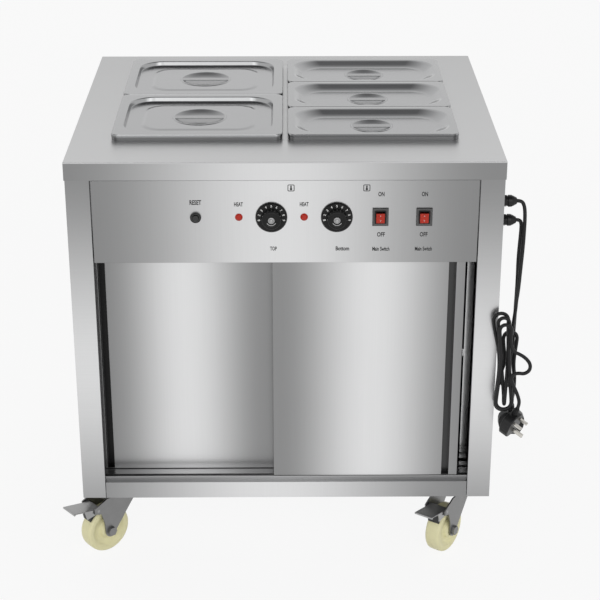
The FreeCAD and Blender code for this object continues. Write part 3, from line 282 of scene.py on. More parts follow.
def makeFloor():
    mesh = bmesh.new()
    bmesh.ops.create_grid(mesh, x_segments=1, y_segments=1, size=studio["floorReach"] * mm)
    data = bpy.data.meshes.new("floor")
    mesh.to_mesh(data)
    mesh.free()
    finish = Finish("floor", BaseColor=studio["floorTone"], Roughness=0.9, SpecularIORLevel=0.1)
    path = finish.node("LightPath")
    rays = path.socket.node.outputs
    seen = Wire(finish, rays["Is Camera Ray"]) + Wire(finish, rays["Is Glossy Ray"])
    seen = (seen + Wire(finish, rays["Is Transmission Ray"])).clamped() * studio["floorSeen"]
    glow = finish.node("Emission", {}, {"Color": (1, 1, 1), "Strength": 1.0})
    both = finish.node("MixShader", {}, {0: seen, 1: Wire(finish, finish.shader.outputs[0]), 2: glow})
    finish.tree.links.new(both.socket, finish.tree.nodes["Material Output"].inputs["Surface"])
    data.materials.append(finish.material)
    floor = bpy.data.objects.new("floor", data)
    bpy.context.scene.collection.objects.link(floor)


def worldRamp(tree, socket, ends):
    ramp = tree.nodes.new("ShaderNodeMapRange")
    ramp.inputs["From Min"].default_value = ends[0]
    ramp.inputs["From Max"].default_value = ends[1]
    tree.links.new(socket, ramp.inputs["Value"])
    return ramp.outputs[0]


def makeWorld():
    # pale round the horizon and low down behind, dark overhead and high up in front, as a studio is
    world = bpy.data.worlds.new("studio")
    world.use_nodes = True
    bpy.context.scene.world = world
    tree = world.node_tree
    place = tree.nodes.new("ShaderNodeTexCoord")
    split = tree.nodes.new("ShaderNodeSeparateXYZ")
    tree.links.new(place.outputs["Generated"], split.inputs[0])
    dark = tree.nodes.new("ShaderNodeMath")
    dark.operation = "MULTIPLY"
    tree.links.new(worldRamp(tree, split.outputs["Z"], studio["heights"]), dark.inputs[0])
    tree.links.new(worldRamp(tree, split.outputs["Y"], studio["depths"]), dark.inputs[1])
    tone = tree.nodes.new("ShaderNodeMix")
    tone.data_type = "RGBA"
    tone.inputs[6].default_value = studio["pale"]
    tone.inputs[7].default_value = studio["dark"]
    tree.links.new(dark.outputs[0], tone.inputs[0])
    tree.links.new(tone.outputs[2], tree.nodes["Background"].inputs["Color"])


def makeLamps():
    sun = studio["sun"]
    data = bpy.data.lights.new("front", "SUN")
    data.energy = sun["strength"]
    data.angle = math.radians(sun["softness"])
    lamp = bpy.data.objects.new("front", data)
    lamp.rotation_euler = [math.radians(turn) for turn in sun["turn"]]
    bpy.context.scene.collection.objects.link(lamp)
    for name, place in studio["lamps"]:
        data = bpy.data.lights.new(name, "AREA")
        data.shape = "DISK"
        data.size = studio["lampSize"] * mm
        data.energy = studio["lampPower"]
        lamp = bpy.data.objects.new(name, data)
        lamp.location = Vector(place) * mm
        lamp.rotation_euler = (Vector(studio["aim"]) - Vector(place)).to_track_quat("-Z", "Y").to_euler()
        bpy.context.scene.collection.objects.link(lamp)


makeFloor()
makeWorld()
makeLamps()
bpy.context.scene.view_settings.view_transform = "Standard"
print("stage and lamps made")


# Finishes

brush = {"fine": 900.0, "long": 5.0, "cloud": 7.0, "flatEdge": 1500, "channelSide": 800, "channelFront": 300}


def brushed(name, lines, sheenBand=None, tones=(0.27, 0.71), flat=None, roughness=0.34, channel=None):
    # lines is the letter of the brushing direction; sheenBand has its letter, middle and half reach of a
    # painted sheen, a bright band of reflection painted into the colour and dark towards its ends; flat has the
    # height where a level face starts, its tone and how much of that is lost per metre to the back, which
    # paints shade on the level face; channel has a finger channel's middle, half width, front and shade, which
    # paints shade inside the channel
    finish = Finish(name, Metallic=1.0)
    stretch = [brush["fine"]] * 3
    stretch["XYZ".index(lines)] = brush["long"]
    streaks = finish.noise(finish.stretched(stretch), 1.0, 3)
    cloud = finish.noise(finish.place, brush["cloud"], 2)
    # painted sheen: the colour is lightest in the middle of the band and darker towards its ends, as a
    # reflection would fall
    if sheenBand:
        letter, middle, half = sheenBand
        turn = (finish.axis(letter) - middle * mm) * (math.pi / 2 / (half * mm))
        turn = turn.calc("MINIMUM", turn.calc("MAXIMUM", turn, -math.pi / 2), math.pi / 2)
        tone = turn.cosine() ** 2.0 * (tones[1] - tones[0]) + tones[0]
    else:
        tone = tones[1]
    # painted shade: a level face gets its own darker tone, lower still by the given amount per metre towards
    # the back
    if flat:
        edge, level, fall = flat
        above = ((finish.axis("Z") - edge * mm) * brush["flatEdge"]).clamped()
        tone = tone * (1 - above) + above * (level - finish.axis("Y") * fall)
    # painted shade: the inside of the finger channel is darkened as if in its own shadow
    if channel:
        middle, half, front, shade = channel
        across = (half * mm - abs(finish.axis("X") - middle * mm)) * brush["channelSide"]
        behind = (finish.axis("Y") - front * mm) * brush["channelFront"]
        tone = tone * (1 - across.clamped() * behind.clamped() * (1 - shade))
    tone = tone * (0.95 + streaks * 0.07 + cloud * 0.03)
    colour = finish.node("CombineColor", {}, {0: tone, 1: tone * 1.003, 2: tone * 1.008})
    finish.put("BaseColor", colour)
    finish.put("Roughness", roughness - 0.05 + streaks * 0.1)
    finish.bump(streaks, 0.10, 0.0004)
    return finish.material


def plainMetal(name, tone, roughness, mottleScale=30.0, spread=0.12):
    finish = Finish(name, Metallic=1.0)
    mottle = finish.noise(finish.place, mottleScale, 4, 0.6)
    grain = finish.noise(finish.place, mottleScale * 14, 2)
    dark = tuple(part * (1 - spread) for part in tone)
    light = tuple(part * (1 + spread) for part in tone)
    finish.put("BaseColor", finish.mix(mottle, dark, light))
    finish.put("Roughness", roughness - 0.06 + mottle * 0.12)
    finish.bump(grain, 0.10, 0.0004)
    return finish.material


def moulded(name, dark, light, roughness, coat=0.0, grain=1200.0, bumpStrength=0.1, shine=0.5):
    finish = Finish(name, CoatWeight=coat, CoatRoughness=0.15, SpecularIORLevel=shine)
    mottle = finish.noise(finish.place, 45, 3)
    finish.put("BaseColor", finish.mix(mottle, dark, light))
    finish.put("Roughness", roughness - 0.04 + mottle * 0.08)
    finish.bump(finish.noise(finish.place, grain, 2), bumpStrength, 0.0003)
    return finish.material


# a steel finish with a painted sheen band across the piece along X
def alongX(name, shift=0, reach=1.0, **options):
    low, high = nodeBox(name)
    sheenBand = ("X", (low.x + high.x) / 2 + shift, (high.x - low.x) / 2 * reach)
    return brushed(name + "_steel", "Z", sheenBand, **options)


lidSteel = plainMetal("lid_steel", (0.365, 0.368, 0.372), 0.2, 12.0, 0.04)
panSteel = plainMetal("pan_steel", (0.31, 0.312, 0.316), 0.24, 12.0, 0.04)
# painted shade: a darker copy of the lid steel for the hollow of each lid's dish
dishShadeSteel = plainMetal("dish_steel", (0.29, 0.292, 0.296), 0.24, 12.0, 0.05)
# painted shade: a dark copy of the steel for the pans' walls under the lid rims and the front and rear walls of
# the third lids
skirtShadeSteel = plainMetal("skirt_steel", (0.17, 0.171, 0.173), 0.26, 12.0, 0.05)
zinc = plainMetal("zinc_plated", (0.25, 0.25, 0.25), 0.42, 60.0)
brakeSteel = plainMetal("brake_steel", (0.36, 0.36, 0.36), 0.3, 50.0)
boltSteel = plainMetal("bolt_steel", (0.5, 0.5, 0.5), 0.3, 80.0)
sheath = plainMetal("element_sheath", (0.16, 0.14, 0.13), 0.5, 90.0, 0.3)
innerSteel = brushed("inner_steel", "Y", tones=(0.5, 0.55), roughness=0.38)
wool = moulded("mineral_wool", (0.62, 0.55, 0.36), (0.78, 0.70, 0.5), 0.9, 0, 250.0, 0.9)
nylon = moulded("cream_nylon", (0.79, 0.745, 0.435), (0.87, 0.83, 0.525), 0.45)
knobBlack = moulded("knob_black", (0.006, 0.006, 0.006), (0.011, 0.011, 0.011), 0.26, shine=0.22)
controlBlack = moulded("control_black", (0.007, 0.007, 0.007), (0.012, 0.012, 0.012), 0.3, shine=0.25)
controlBody = moulded("control_body", (0.66, 0.63, 0.55), (0.75, 0.72, 0.64), 0.5)
plugBlack = moulded("plug_black", (0.008, 0.008, 0.008), (0.014, 0.014, 0.015), 0.34, shine=0.3)
lensRed = moulded("lamp_red", (0.42, 0.024, 0.013), (0.50, 0.036, 0.02), 0.25, shine=0.25)
rockerRed = moulded("rocker_red", (0.43, 0.028, 0.015), (0.51, 0.042, 0.023), 0.3, shine=0.25)
resetBlack = moulded("reset_black", (0.008, 0.008, 0.008), (0.014, 0.014, 0.014), 0.2, shine=0.6)
bezelGrey = moulded("bezel_grey", (0.07, 0.07, 0.07), (0.10, 0.10, 0.10), 0.35, shine=0.4)
brakeRubber = moulded("brake_rubber", (0.008, 0.008, 0.009), (0.016, 0.016, 0.017), 0.55)
insertSteel = plainMetal("insert_steel", (0.42, 0.42, 0.42), 0.25, 200.0, 0.05)
pinMetal = plainMetal("pin_metal", (0.62, 0.60, 0.56), 0.25, 100.0, 0.08)
markWhite = moulded("mark_white", (0.72, 0.72, 0.70), (0.8, 0.8, 0.78), 0.5)
inkGrey = moulded("panel_ink", (0.018, 0.018, 0.018), (0.03, 0.03, 0.03), 0.5, shine=0.2)

# the steel sheets carry painted sheen, a bright band across each worktop, panel, door, post, liner and track,
# and painted shade on the worktop's top, the base tray's ledge and inside the door channels
nodeFinish = {
    "worktop": alongX("worktop", -14, tones=(0.265, 0.73), flat=(847.5, 0.51, 0.11)),
    "control_panel": alongX("control_panel", -6, tones=(0.26, 0.745)),
    "door_left": alongX("door_left", 0, 0.85, tones=(0.28, 0.76), channel=(-351, 7.6, -315.5, 0.09)),
    "door_right": alongX("door_right", 9, tones=(0.28, 0.765), channel=(315, 7.6, -346.5, 0.2)),
    "base_tray": alongX("base_tray", -30, tones=(0.27, 0.76), flat=(179.6, 0.2, 0)),
    "bottom_track": alongX("bottom_track", tones=(0.34, 0.5)),
    "cupboard_liner": brushed("liner_steel", "X", ("Z", 420, 300), tones=(0.60, 0.78), roughness=0.16),
    "side_panel_left": brushed("left_post_steel", "X", ("Z", 430, 430), (0.275, 0.735)),
    "side_panel_right": brushed("right_post_steel", "X", ("Z", 430, 430), (0.275, 0.735)),
    "castor_plates": zinc,
    "castor_bolts": boltSteel,
    "tank_insulation": wool,
    "tank_element": sheath,
    "cupboard_element": sheath,
    "thermostats": controlBody,
    "terminal_block": controlBody,
    "indicator_lamps": lensRed,
    "reset_cutout": controlBlack,
    "reset_button": controlBlack,
    "switch_housings": controlBlack,
    "gland_upper": plugBlack,
    "gland_lower": plugBlack,
    "plug_upper": plugBlack,
    "plug_lower": plugBlack,
}
nodeFamilies = (
    ("pan_bars", innerSteel), ("pan_", panSteel), ("lid_", lidSteel), ("castor_fork", zinc),
    ("castor_wheel", nylon), ("castor_brake", brakeSteel), ("knob_", knobBlack), ("rocker_", rockerRed),
)


def dressNodes():
    for name, node in nodes.items():
        material = nodeFinish.get(name, innerSteel)
        if name not in nodeFinish:
            for start, finish in nodeFamilies:
                if name.startswith(start):
                    material = finish
                    break
        node.data.materials.clear()
        node.data.materials.append(material)


dressNodes()
print("finishes made")


# Making meshes: profiles are softened in numbers, and the operators turn them into sheet, rings and rounds

# the most of a side at a corner that its rounding takes, and the least rounding that is made
roundShare = 0.48
leastRound = 0.02


def softened(path, steps=3):
    # each point ends with its own softness: how far the corner there is rounded
    points = [Vector(path[0][:-1])]
    for before, corner, after in zip(path, path[1:], path[2:]):
        middle = Vector(corner[:-1])
        back = Vector(before[:-1]) - middle
        onward = Vector(after[:-1]) - middle
        reach = min(corner[-1], back.length * roundShare, onward.length * roundShare)
        if reach < leastRound:
            points.append(middle)
            continue
        start = middle + back.normalized() * reach
        end = middle + onward.normalized() * reach
        for step in range(steps + 1):
            t = step / steps
            points.append(start * (1 - t) ** 2 + middle * (2 * t * (1 - t)) + end * t ** 2)
    points.append(Vector(path[-1][:-1]))
    return points


def unique(items):
    # each item once, in the order met, so that every run makes the same mesh
    return list(dict.fromkeys(items))


def bevelled(mesh, parts, reach, segments, kind="EDGES", **options):
    bmesh.ops.bevel(mesh, geom=parts, offset=reach, offset_type="OFFSET", affect=kind, segments=segments,
                    profile=0.5, material=-1, **options)


def turned(mesh, path, place=Matrix(), steps=48):
    # a profile of (radius, height, softness) turned round the height
    profile = softened(path)
    verts = [mesh.verts.new((point[0], 0, point[1])) for point in profile]
    edges = [mesh.edges.new(pair) for pair in zip(verts, verts[1:])]
    known = set(mesh.verts) - set(verts)
    bmesh.ops.spin(mesh, geom=verts + edges, cent=(0, 0, 0), axis=(0, 0, 1), dvec=(0, 0, 0),
                   angle=2 * math.pi, steps=steps, use_merge=True, use_duplicate=False)
    made = [vert for vert in mesh.verts if vert not in known]
    bmesh.ops.remove_doubles(mesh, verts=made, dist=0.001)
    made = [vert for vert in mesh.verts if vert not in known]
    faces = unique(face for vert in made for face in vert.link_faces)
    bmesh.ops.recalc_face_normals(mesh, faces=faces)
    bmesh.ops.transform(mesh, matrix=place, verts=made)
    return faces


def roundedRing(mesh, halfX, halfY, corner, height, segments=8):
    made = bmesh.ops.create_grid(mesh, x_segments=1, y_segments=1, size=1)["verts"]
    bmesh.ops.scale(mesh, vec=(halfX, halfY, 1), verts=made)
    bmesh.ops.translate(mesh, vec=(0, 0, height), verts=made)
    others = set(mesh.faces) - set(made[0].link_faces)
    bevelled(mesh, made, corner, segments, "VERTICES")
    face = next(face for face in mesh.faces if face not in others)
    edges = list(face.edges)
    bmesh.ops.delete(mesh, geom=[face], context="FACES_ONLY")
    return edges


def roundRing(mesh, radius, height, segments=8):
    made = bmesh.ops.create_circle(mesh, segments=4 * (segments + 1), radius=radius)["verts"]
    turn = math.pi / 4 - math.pi / (4 * (segments + 1)) * segments
    bmesh.ops.rotate(mesh, cent=(0, 0, 0), matrix=Matrix.Rotation(turn, 3, "Z"), verts=made)
    bmesh.ops.translate(mesh, vec=(0, 0, height), verts=made)
    return unique(edge for vert in made for edge in vert.link_edges)


def bridged(mesh, rings, filled=True, apart=60):
    # level rings are ambiguous to bridge, so each is lifted clear of the last one meanwhile
    corners = [unique(vert for edge in ring for vert in edge.verts) for ring in rings]
    for number, verts in enumerate(corners):
        bmesh.ops.translate(mesh, vec=(0, 0, number * apart), verts=verts)
    for one, two in zip(rings, rings[1:]):
        bmesh.ops.bridge_loops(mesh, edges=one + two)
    for number, verts in enumerate(corners):
        bmesh.ops.translate(mesh, vec=(0, 0, -number * apart), verts=verts)
    if filled:
        bmesh.ops.contextual_create(mesh, geom=rings[-1])


def drawnSheet(mesh, half, path, dish=(), segments=8, filled=True):
    # pressed sheet from its rim inwards: path has (inset, height, corner, softness), dish (radius, height,
    # softness)
    rings = []
    for inset, height, corner in softened(path):
        rings.append(roundedRing(mesh, half[0] - inset, half[1] - inset, corner, height, segments))
    for radius, height in softened(dish) if dish else ():
        rings.append(roundRing(mesh, radius, height, segments))
    bridged(mesh, rings, filled)
    bmesh.ops.recalc_face_normals(mesh, faces=mesh.faces)
    if sum(face.normal.z * face.calc_area() for face in mesh.faces) < 0:
        bmesh.ops.reverse_faces(mesh, faces=mesh.faces)


def block(mesh, size, place, edge=0.4, segments=2):
    made = bmesh.ops.create_cube(mesh, size=1)["verts"]
    bmesh.ops.scale(mesh, vec=size, verts=made)
    edges = unique(item for vert in made for item in vert.link_edges)
    known = set(mesh.verts) - set(made)
    if edge:
        bevelled(mesh, edges, edge, segments)
    made = [vert for vert in mesh.verts if vert not in known]
    bmesh.ops.transform(mesh, matrix=place, verts=made)


def copied(*names):
    mesh = bmesh.new()
    for name in names:
        mesh.from_mesh(nodes[name].data)
    bmesh.ops.scale(mesh, vec=(1 / mm, 1 / mm, 1 / mm), verts=mesh.verts)
    bmesh.ops.remove_doubles(mesh, verts=mesh.verts, dist=0.005)
    return mesh


def faceReach(face, edge):
    # how far a face goes from one of its edges
    start = edge.verts[0].co
    along = (edge.verts[1].co - start).normalized()
    return max((vert.co - start - along * (vert.co - start).dot(along)).length for vert in face.verts)


def roundBends(mesh, radius, wide=3.2, segments=3, cuts=(), clamped=True):
    # the outer edge of each right-angled fold, not the cut edges of the sheet; cuts are (letter, place)
    # planes through a flat's holes, where it stays divided, so that no slanting edge runs from hole to bend
    for letter, spot in cuts:
        normal = Vector([float(letter == other) for other in "XYZ"])
        parts = list(mesh.verts) + list(mesh.edges) + list(mesh.faces)
        bmesh.ops.bisect_plane(mesh, geom=parts, plane_co=normal * spot, plane_no=normal, dist=0.001)
    for face in mesh.faces:
        middle = face.calc_center_median()
        for letter, spot in cuts:
            face.material_index += middle["XYZ".index(letter)] > spot
    bmesh.ops.dissolve_limit(mesh, angle_limit=math.radians(1), verts=mesh.verts, edges=mesh.edges,
                             delimit={"MATERIAL"})
    if cuts:
        for face in mesh.faces:
            face.material_index = 0
    bends = []
    for edge in mesh.edges:
        if not (edge.is_manifold and edge.is_convex):
            continue
        square = abs(edge.calc_face_angle() - math.pi / 2) < math.radians(12)
        broad = all(faceReach(face, edge) > wide for face in edge.link_faces)
        if square and broad and edge.calc_length() > wide:
            bends.append(edge)
    bevelled(mesh, bends, radius, segments, clamp_overlap=clamped)


def finished(name, mesh, finishes, body, covers=(), wall=0.0, sharp=32):
    bmesh.ops.scale(mesh, vec=(mm, mm, mm), verts=mesh.verts)
    data = bpy.data.meshes.new(name)
    mesh.to_mesh(data)
    mesh.free()
    data.shade_smooth()
    data.set_sharp_from_angle(angle=math.radians(sharp))
    for finish in finishes:
        data.materials.append(finish)
    piece = bpy.data.objects.new(name, data)
    bpy.context.scene.collection.objects.link(piece)
    if wall:
        shell = piece.modifiers.new("wall", "SOLIDIFY")
        shell.thickness = wall * mm
        shell.offset = -1
    # broad flats stay flat beside small rounds
    level = piece.modifiers.new("level", "WEIGHTED_NORMAL")
    level.keep_sharp = True
    level.weight = 100
    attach(piece, body)
    if covers:
        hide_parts(*covers)
    return piece


# Folded sheet metal: the CAD sheets with their bends rounded

foldRadii = {
    "worktop": 2.2, "side_panel_left": 1.6, "side_panel_right": 1.6, "control_panel": 1.3,
    "base_tray": 1.3, "door_left": 0.7, "door_right": 0.7, "top_track": 0.8, "pan_bars": 1.4,
    "back_panel": 1.3, "cupboard_shelf": 1.3,
}
sheetCuts = {
    "side_panel_right": (("Z", 761), ("Z", 723)), "control_panel": (("Z", 742.5),),
    "door_left": (("X", -358), ("X", -344)), "door_right": (("X", 308), ("X", 322)),
}


def makeSheets():
    for name, radius in foldRadii.items():
        isDoor = name.startswith("door")
        mesh = copied(name)
        roundBends(mesh, radius, cuts=sheetCuts.get(name, ()), clamped=not isDoor)
        finished("sheet_" + name, mesh, [nodeFinish.get(name, innerSteel)], name if isDoor else "cabinet",
                 [name])


makeSheets()
print("folded sheets made")


# Pans and lids, drawn from sheet

panSizes = {
    "seat": 850.0, "lip": 7.0, "flange": 12.5, "depth": 100.0, "taper": 9.0, "inset": 0.7, "floorInset": 28.0,
    "corners": (14.0, 32.0, 26.0, 14.0), "wall": 0.8,
}
lidSizes = {
    "half": {"border": 19.0, "wall": 3.4, "softTop": 2.4, "softFoot": 1.2, "step": 52.0, "dish": 50.0,
             "recess": 8.8},
    "third": {"border": 14.0, "wall": 17.5, "softTop": 4.5, "softFoot": 9.0, "step": 0.0, "dish": 38.0,
              "recess": 11.4},
    "corners": (14.0, 50.0, 45.0, 36.0, 33.0, 30.0), "edge": 3.0, "stepRise": 1.8, "stepWidth": 6.0,
    "stepSoft": 2.5, "bead": 0.9, "dishDepth": 8.0, "dishWall": 12.5, "dishFloor": 27.0, "dishClear": 9.0,
    "gripWidth": 17.0, "gripFoot": 3.0, "gripSheet": 1.5,
}
lipTop = panSizes["seat"] + panSizes["lip"]


def makePan(name):
    low, high = nodeBox("pan_" + name)
    half = ((high.x - low.x) / 2 - panSizes["inset"], (high.y - low.y) / 2 - panSizes["inset"])
    flange, foot = panSizes["flange"], panSizes["flange"] + panSizes["taper"]
    bottom = lipTop - panSizes["depth"]
    lip, mouth, base, floor = panSizes["corners"]
    path = [(0, panSizes["seat"], lip, 0), (0, lipTop, lip, 1.0), (flange, lipTop, mouth, 3.5),
            (foot, bottom, base, 12), (foot + panSizes["floorInset"], bottom, floor, 0)]
    mesh = bmesh.new()
    drawnSheet(mesh, half, path)
    # the pan's outer walls under the lid rim take the dark skirt steel, a painted shade
    for face in mesh.faces:
        spot = face.calc_center_median()
        outermost = max(abs(spot.x) - half[0], abs(spot.y) - half[1]) > -2
        face.material_index = outermost and abs(face.normal.z) < 0.5
    bmesh.ops.translate(mesh, vec=((low.x + high.x) / 2, (low.y + high.y) / 2, 0), verts=mesh.verts)
    finished("drawn_pan_" + name, mesh, [panSteel, skirtShadeSteel], "pan_" + name,
             ["pan_" + name], panSizes["wall"])


def makeLid(name):
    sizes = lidSizes[name.split("_")[0]]
    low, high = nodeBox("lid_" + name)
    half = ((high.x - low.x) / 2, (high.y - low.y) / 2)
    middle = Vector(((low.x + high.x) / 2, (low.y + high.y) / 2, 0))
    top = high.z
    field = top - sizes["recess"]
    border, step, dish = sizes["border"], sizes["step"], sizes["dish"]
    rim, mouth, foot, stepFoot, stepTop, inner = lidSizes["corners"]
    path = [(0, lipTop, rim, 0), (0, top, rim, lidSizes["edge"]), (border, top, mouth, sizes["softTop"]),
            (border + sizes["wall"], field, foot, sizes["softFoot"])]
    if step:
        path.append((step, field, stepFoot, lidSizes["stepSoft"]))
        field += lidSizes["stepRise"]
        path.append((step + lidSizes["stepWidth"], field, stepTop, lidSizes["stepSoft"]))
    path.append((half[1] - dish - lidSizes["dishClear"], field, inner, 0))
    bead, depth = lidSizes["bead"], lidSizes["dishDepth"]
    bowl = [(dish + 3.5 * bead, field, 0), (dish + 2.5 * bead, field + bead, 1.2), (dish, field + bead, 2.0),
            (dish - lidSizes["dishWall"], field - depth * 0.8, 7.0),
            (dish - lidSizes["dishFloor"], field - depth, 9.0), (4.0, field - depth, 0)]
    mesh = bmesh.new()
    drawnSheet(mesh, half, path, bowl)
    bmesh.ops.translate(mesh, vec=middle, verts=mesh.verts)
    # the dish's hollow takes the darker dish steel, a painted shade
    for face in mesh.faces:
        spot = face.calc_center_median() - middle
        face.material_index = math.hypot(spot.x, spot.y) < dish and spot.z < field
        # the front and rear walls of a lid without a step take the dark skirt steel, a painted shade
        if not step and abs(face.normal.z) < 0.9 and abs(spot.y) > half[1] - 3:
            face.material_index = 2
    finished("drawn_lid_" + name, mesh, [lidSteel, dishShadeSteel, skirtShadeSteel], "lid_" + name,
             ["lid_" + name], panSizes["wall"])
    grip = bmesh.new()
    size = (2 * (dish + lidSizes["gripFoot"]), lidSizes["gripWidth"], lidSizes["gripSheet"])
    block(grip, size, Matrix.Translation(middle + Vector((0, 0, field - 0.15))), 0.5)
    finished("lid_grip_" + name, grip, [panSteel], "lid_" + name)


for row in ("half_front", "half_rear", "third_front", "third_middle", "third_rear"):
    makePan(row)
    makeLid(row)
print("pans and lids made")


# Castors

castorSizes = {
    "turns": {"front_left": 220.0, "front_right": 235.0, "rear_left": 55.0, "rear_right": 40.0},
    "inset": (342.0, 285.0), "trail": 38.0, "axle": 50.0, "wheel": 50.0, "width": 32.0, "hub": 18.0,
    "hubWidth": 38.0, "bore": 5.05, "pivot": (66.0, 106.0), "pedalEdge": (48.0, 11.0),
    "pedalLip": (8.0, 1.0), "pedalWidth": 40.0, "rollRadius": 2.3,
}
frontFacing = Matrix.Rotation(math.radians(90), 4, "X")
acrossFacing = Matrix.Rotation(math.radians(-90), 4, "X")


def castorPlace(corner):
    x, y = castorSizes["inset"]
    side = Vector((x if "right" in corner else -x, y if "rear" in corner else -y, 0))
    return Matrix.Translation(side) @ Matrix.Rotation(math.radians(castorSizes["turns"][corner]), 4, "Z")


def makeWheel(corner):
    edge = castorSizes["wheel"]
    half = castorSizes["width"] / 2
    hub, hubHalf, bore = castorSizes["hub"], castorSizes["hubWidth"] / 2, castorSizes["bore"]
    side = [(bore, hubHalf, 0.6), (hub - 4, hubHalf, 1.2), (hub, hubHalf - 3.5, 1.5),
            (hub + 3, half - 6.5, 3), (edge - 19, half - 5.5, 5), (edge - 13, half, 3),
            (edge - 4.5, half, 2.2), (edge - 0.8, half - 4, 1.6)]
    other = [(radius, -height, soft) for radius, height, soft in reversed(side)]
    mesh = bmesh.new()
    axle = Matrix.Translation((castorSizes["trail"], 0, castorSizes["axle"]))
    turned(mesh, side + [(edge, 0, 6)] + other + [side[0]], castorPlace(corner) @ axle @ acrossFacing, 64)
    name = "castor_wheel_" + corner
    finished("nylon_" + name, mesh, [nylon], name, [name], sharp=50)


def islands(mesh):
    # the faces of each separate shell, the smallest shell first
    seen = set()
    groups = []
    for start in mesh.faces:
        if start in seen:
            continue
        seen.add(start)
        group = [start]
        for face in group:
            for edge in face.edges:
                for other in edge.link_faces:
                    if other not in seen:
                        seen.add(other)
                        group.append(other)
        groups.append(group)
    return sorted(groups, key=len)


def makeBrake(corner):
    name = "castor_brake_" + corner
    mesh = copied(name)
    for face in islands(mesh)[0]:
        face.material_index = 1
    roundBends(mesh, 0.8, 4.0)
    px, pz = castorSizes["pivot"]
    u, z = castorSizes["pedalEdge"]
    lipU, lipZ = castorSizes["pedalLip"]
    half = castorSizes["pedalWidth"] / 2
    roll = castorSizes["rollRadius"]
    lip = Matrix.Translation((px + u + lipU - roll, 0, pz + z + lipZ - roll))
    path = [(0, -half, 0), (roll, -half, 0.6), (roll, half, 0.6), (0, half, 0)]
    for face in turned(mesh, path, castorPlace(corner) @ lip @ acrossFacing, 16):
        face.material_index = 0
    finished("pressed_" + name, mesh, [brakeSteel, brakeRubber], name, [name])


def makeFork(corner):
    name = "castor_fork_" + corner
    mesh = copied(name)
    roundBends(mesh, 0.7, 2.6)
    finished("pressed_" + name, mesh, [zinc], name, [name])


for corner in castorSizes["turns"]:
    makeWheel(corner)
    makeBrake(corner)
    makeFork(corner)
print("castors made")


# Controls on the panel

panelSizes = {
    "front": -358.5, "z": 742.5, "knobs": {"knob_top": -25.9, "knob_bottom": 95.2}, "lamps": (-86.0, 34.7),
    "reset": -166.0, "switches": {"rocker_main": 176.0, "rocker_second": 257.2},
}


def onPanel(x, z=panelSizes["z"], out=0.0):
    # a place on the panel: local X across, local Y up, local Z out of it
    return Matrix.Translation((x, panelSizes["front"] - out, z)) @ frontFacing


def words(mesh, text, height, place, width, weight=0.012):
    # printed words: capitals of the given height, squeezed to the given width
    curve = bpy.data.curves.new("words", "FONT")
    curve.body = text
    curve.resolution_u = 3
    curve.offset = weight
    holder = bpy.data.objects.new("words", curve)
    bpy.context.scene.collection.objects.link(holder)
    data = bpy.data.meshes.new_from_object(holder)
    letters = bmesh.new()
    letters.from_mesh(data)
    xs = [vert.co.x for vert in letters.verts]
    wide = max(xs) - min(xs)
    capital = 0.69
    stretch = Matrix.Diagonal((width / wide, height / capital, 1, 1))
    centre = Matrix.Translation((-(max(xs) + min(xs)) / 2, -capital / 2, 0))
    bmesh.ops.transform(letters, matrix=place @ stretch @ centre, verts=letters.verts)
    letters.to_mesh(data)
    letters.free()
    mesh.from_mesh(data)
    bpy.data.meshes.remove(data)
    bpy.data.objects.remove(holder)
    bpy.data.curves.remove(curve)


knobSizes = {
    "skirt": 29.5, "skirtFront": 27.0, "skirtDepth": 6.0, "standOff": 1.0, "cap": 18.8, "capFront": 17.4,
    "reach": 21.0, "shaft": 3.0, "pointer": (2.4, 3.2), "insert": 6.2, "slot": (1.1, 4.6, 0.6),
    "crescent": (9.2, 1.2, 120), "numerals": {"count": 9, "first": -100, "step": 25, "radius": 23.4},
    "numeral": (4.4, 2.8, 0.03),
}


def crescent(mesh, sizes, place):
    # a painted highlight: part of a thin silver ring round the lower side of the insert, standing in for light
    # caught on the cap
    radius, width, spread = sizes
    start = Matrix.Rotation(math.radians(-90 - spread / 2), 4, "Z")
    corners = [mesh.verts.new(start @ Vector((radius + side * width / 2, 0, 0))) for side in (-1, 1)]
    edge = mesh.edges.new(corners)
    known = set(mesh.verts) - set(corners)
    bmesh.ops.spin(mesh, geom=corners + [edge], cent=(0, 0, 0), axis=(0, 0, 1), dvec=(0, 0, 0),
                   angle=math.radians(spread), steps=16)
    made = [vert for vert in mesh.verts if vert not in known]
    for face in unique(face for vert in made for face in vert.link_faces):
        face.normal_update()
        if face.normal.z < 0:
            face.normal_flip()
    bmesh.ops.transform(mesh, matrix=place, verts=made)


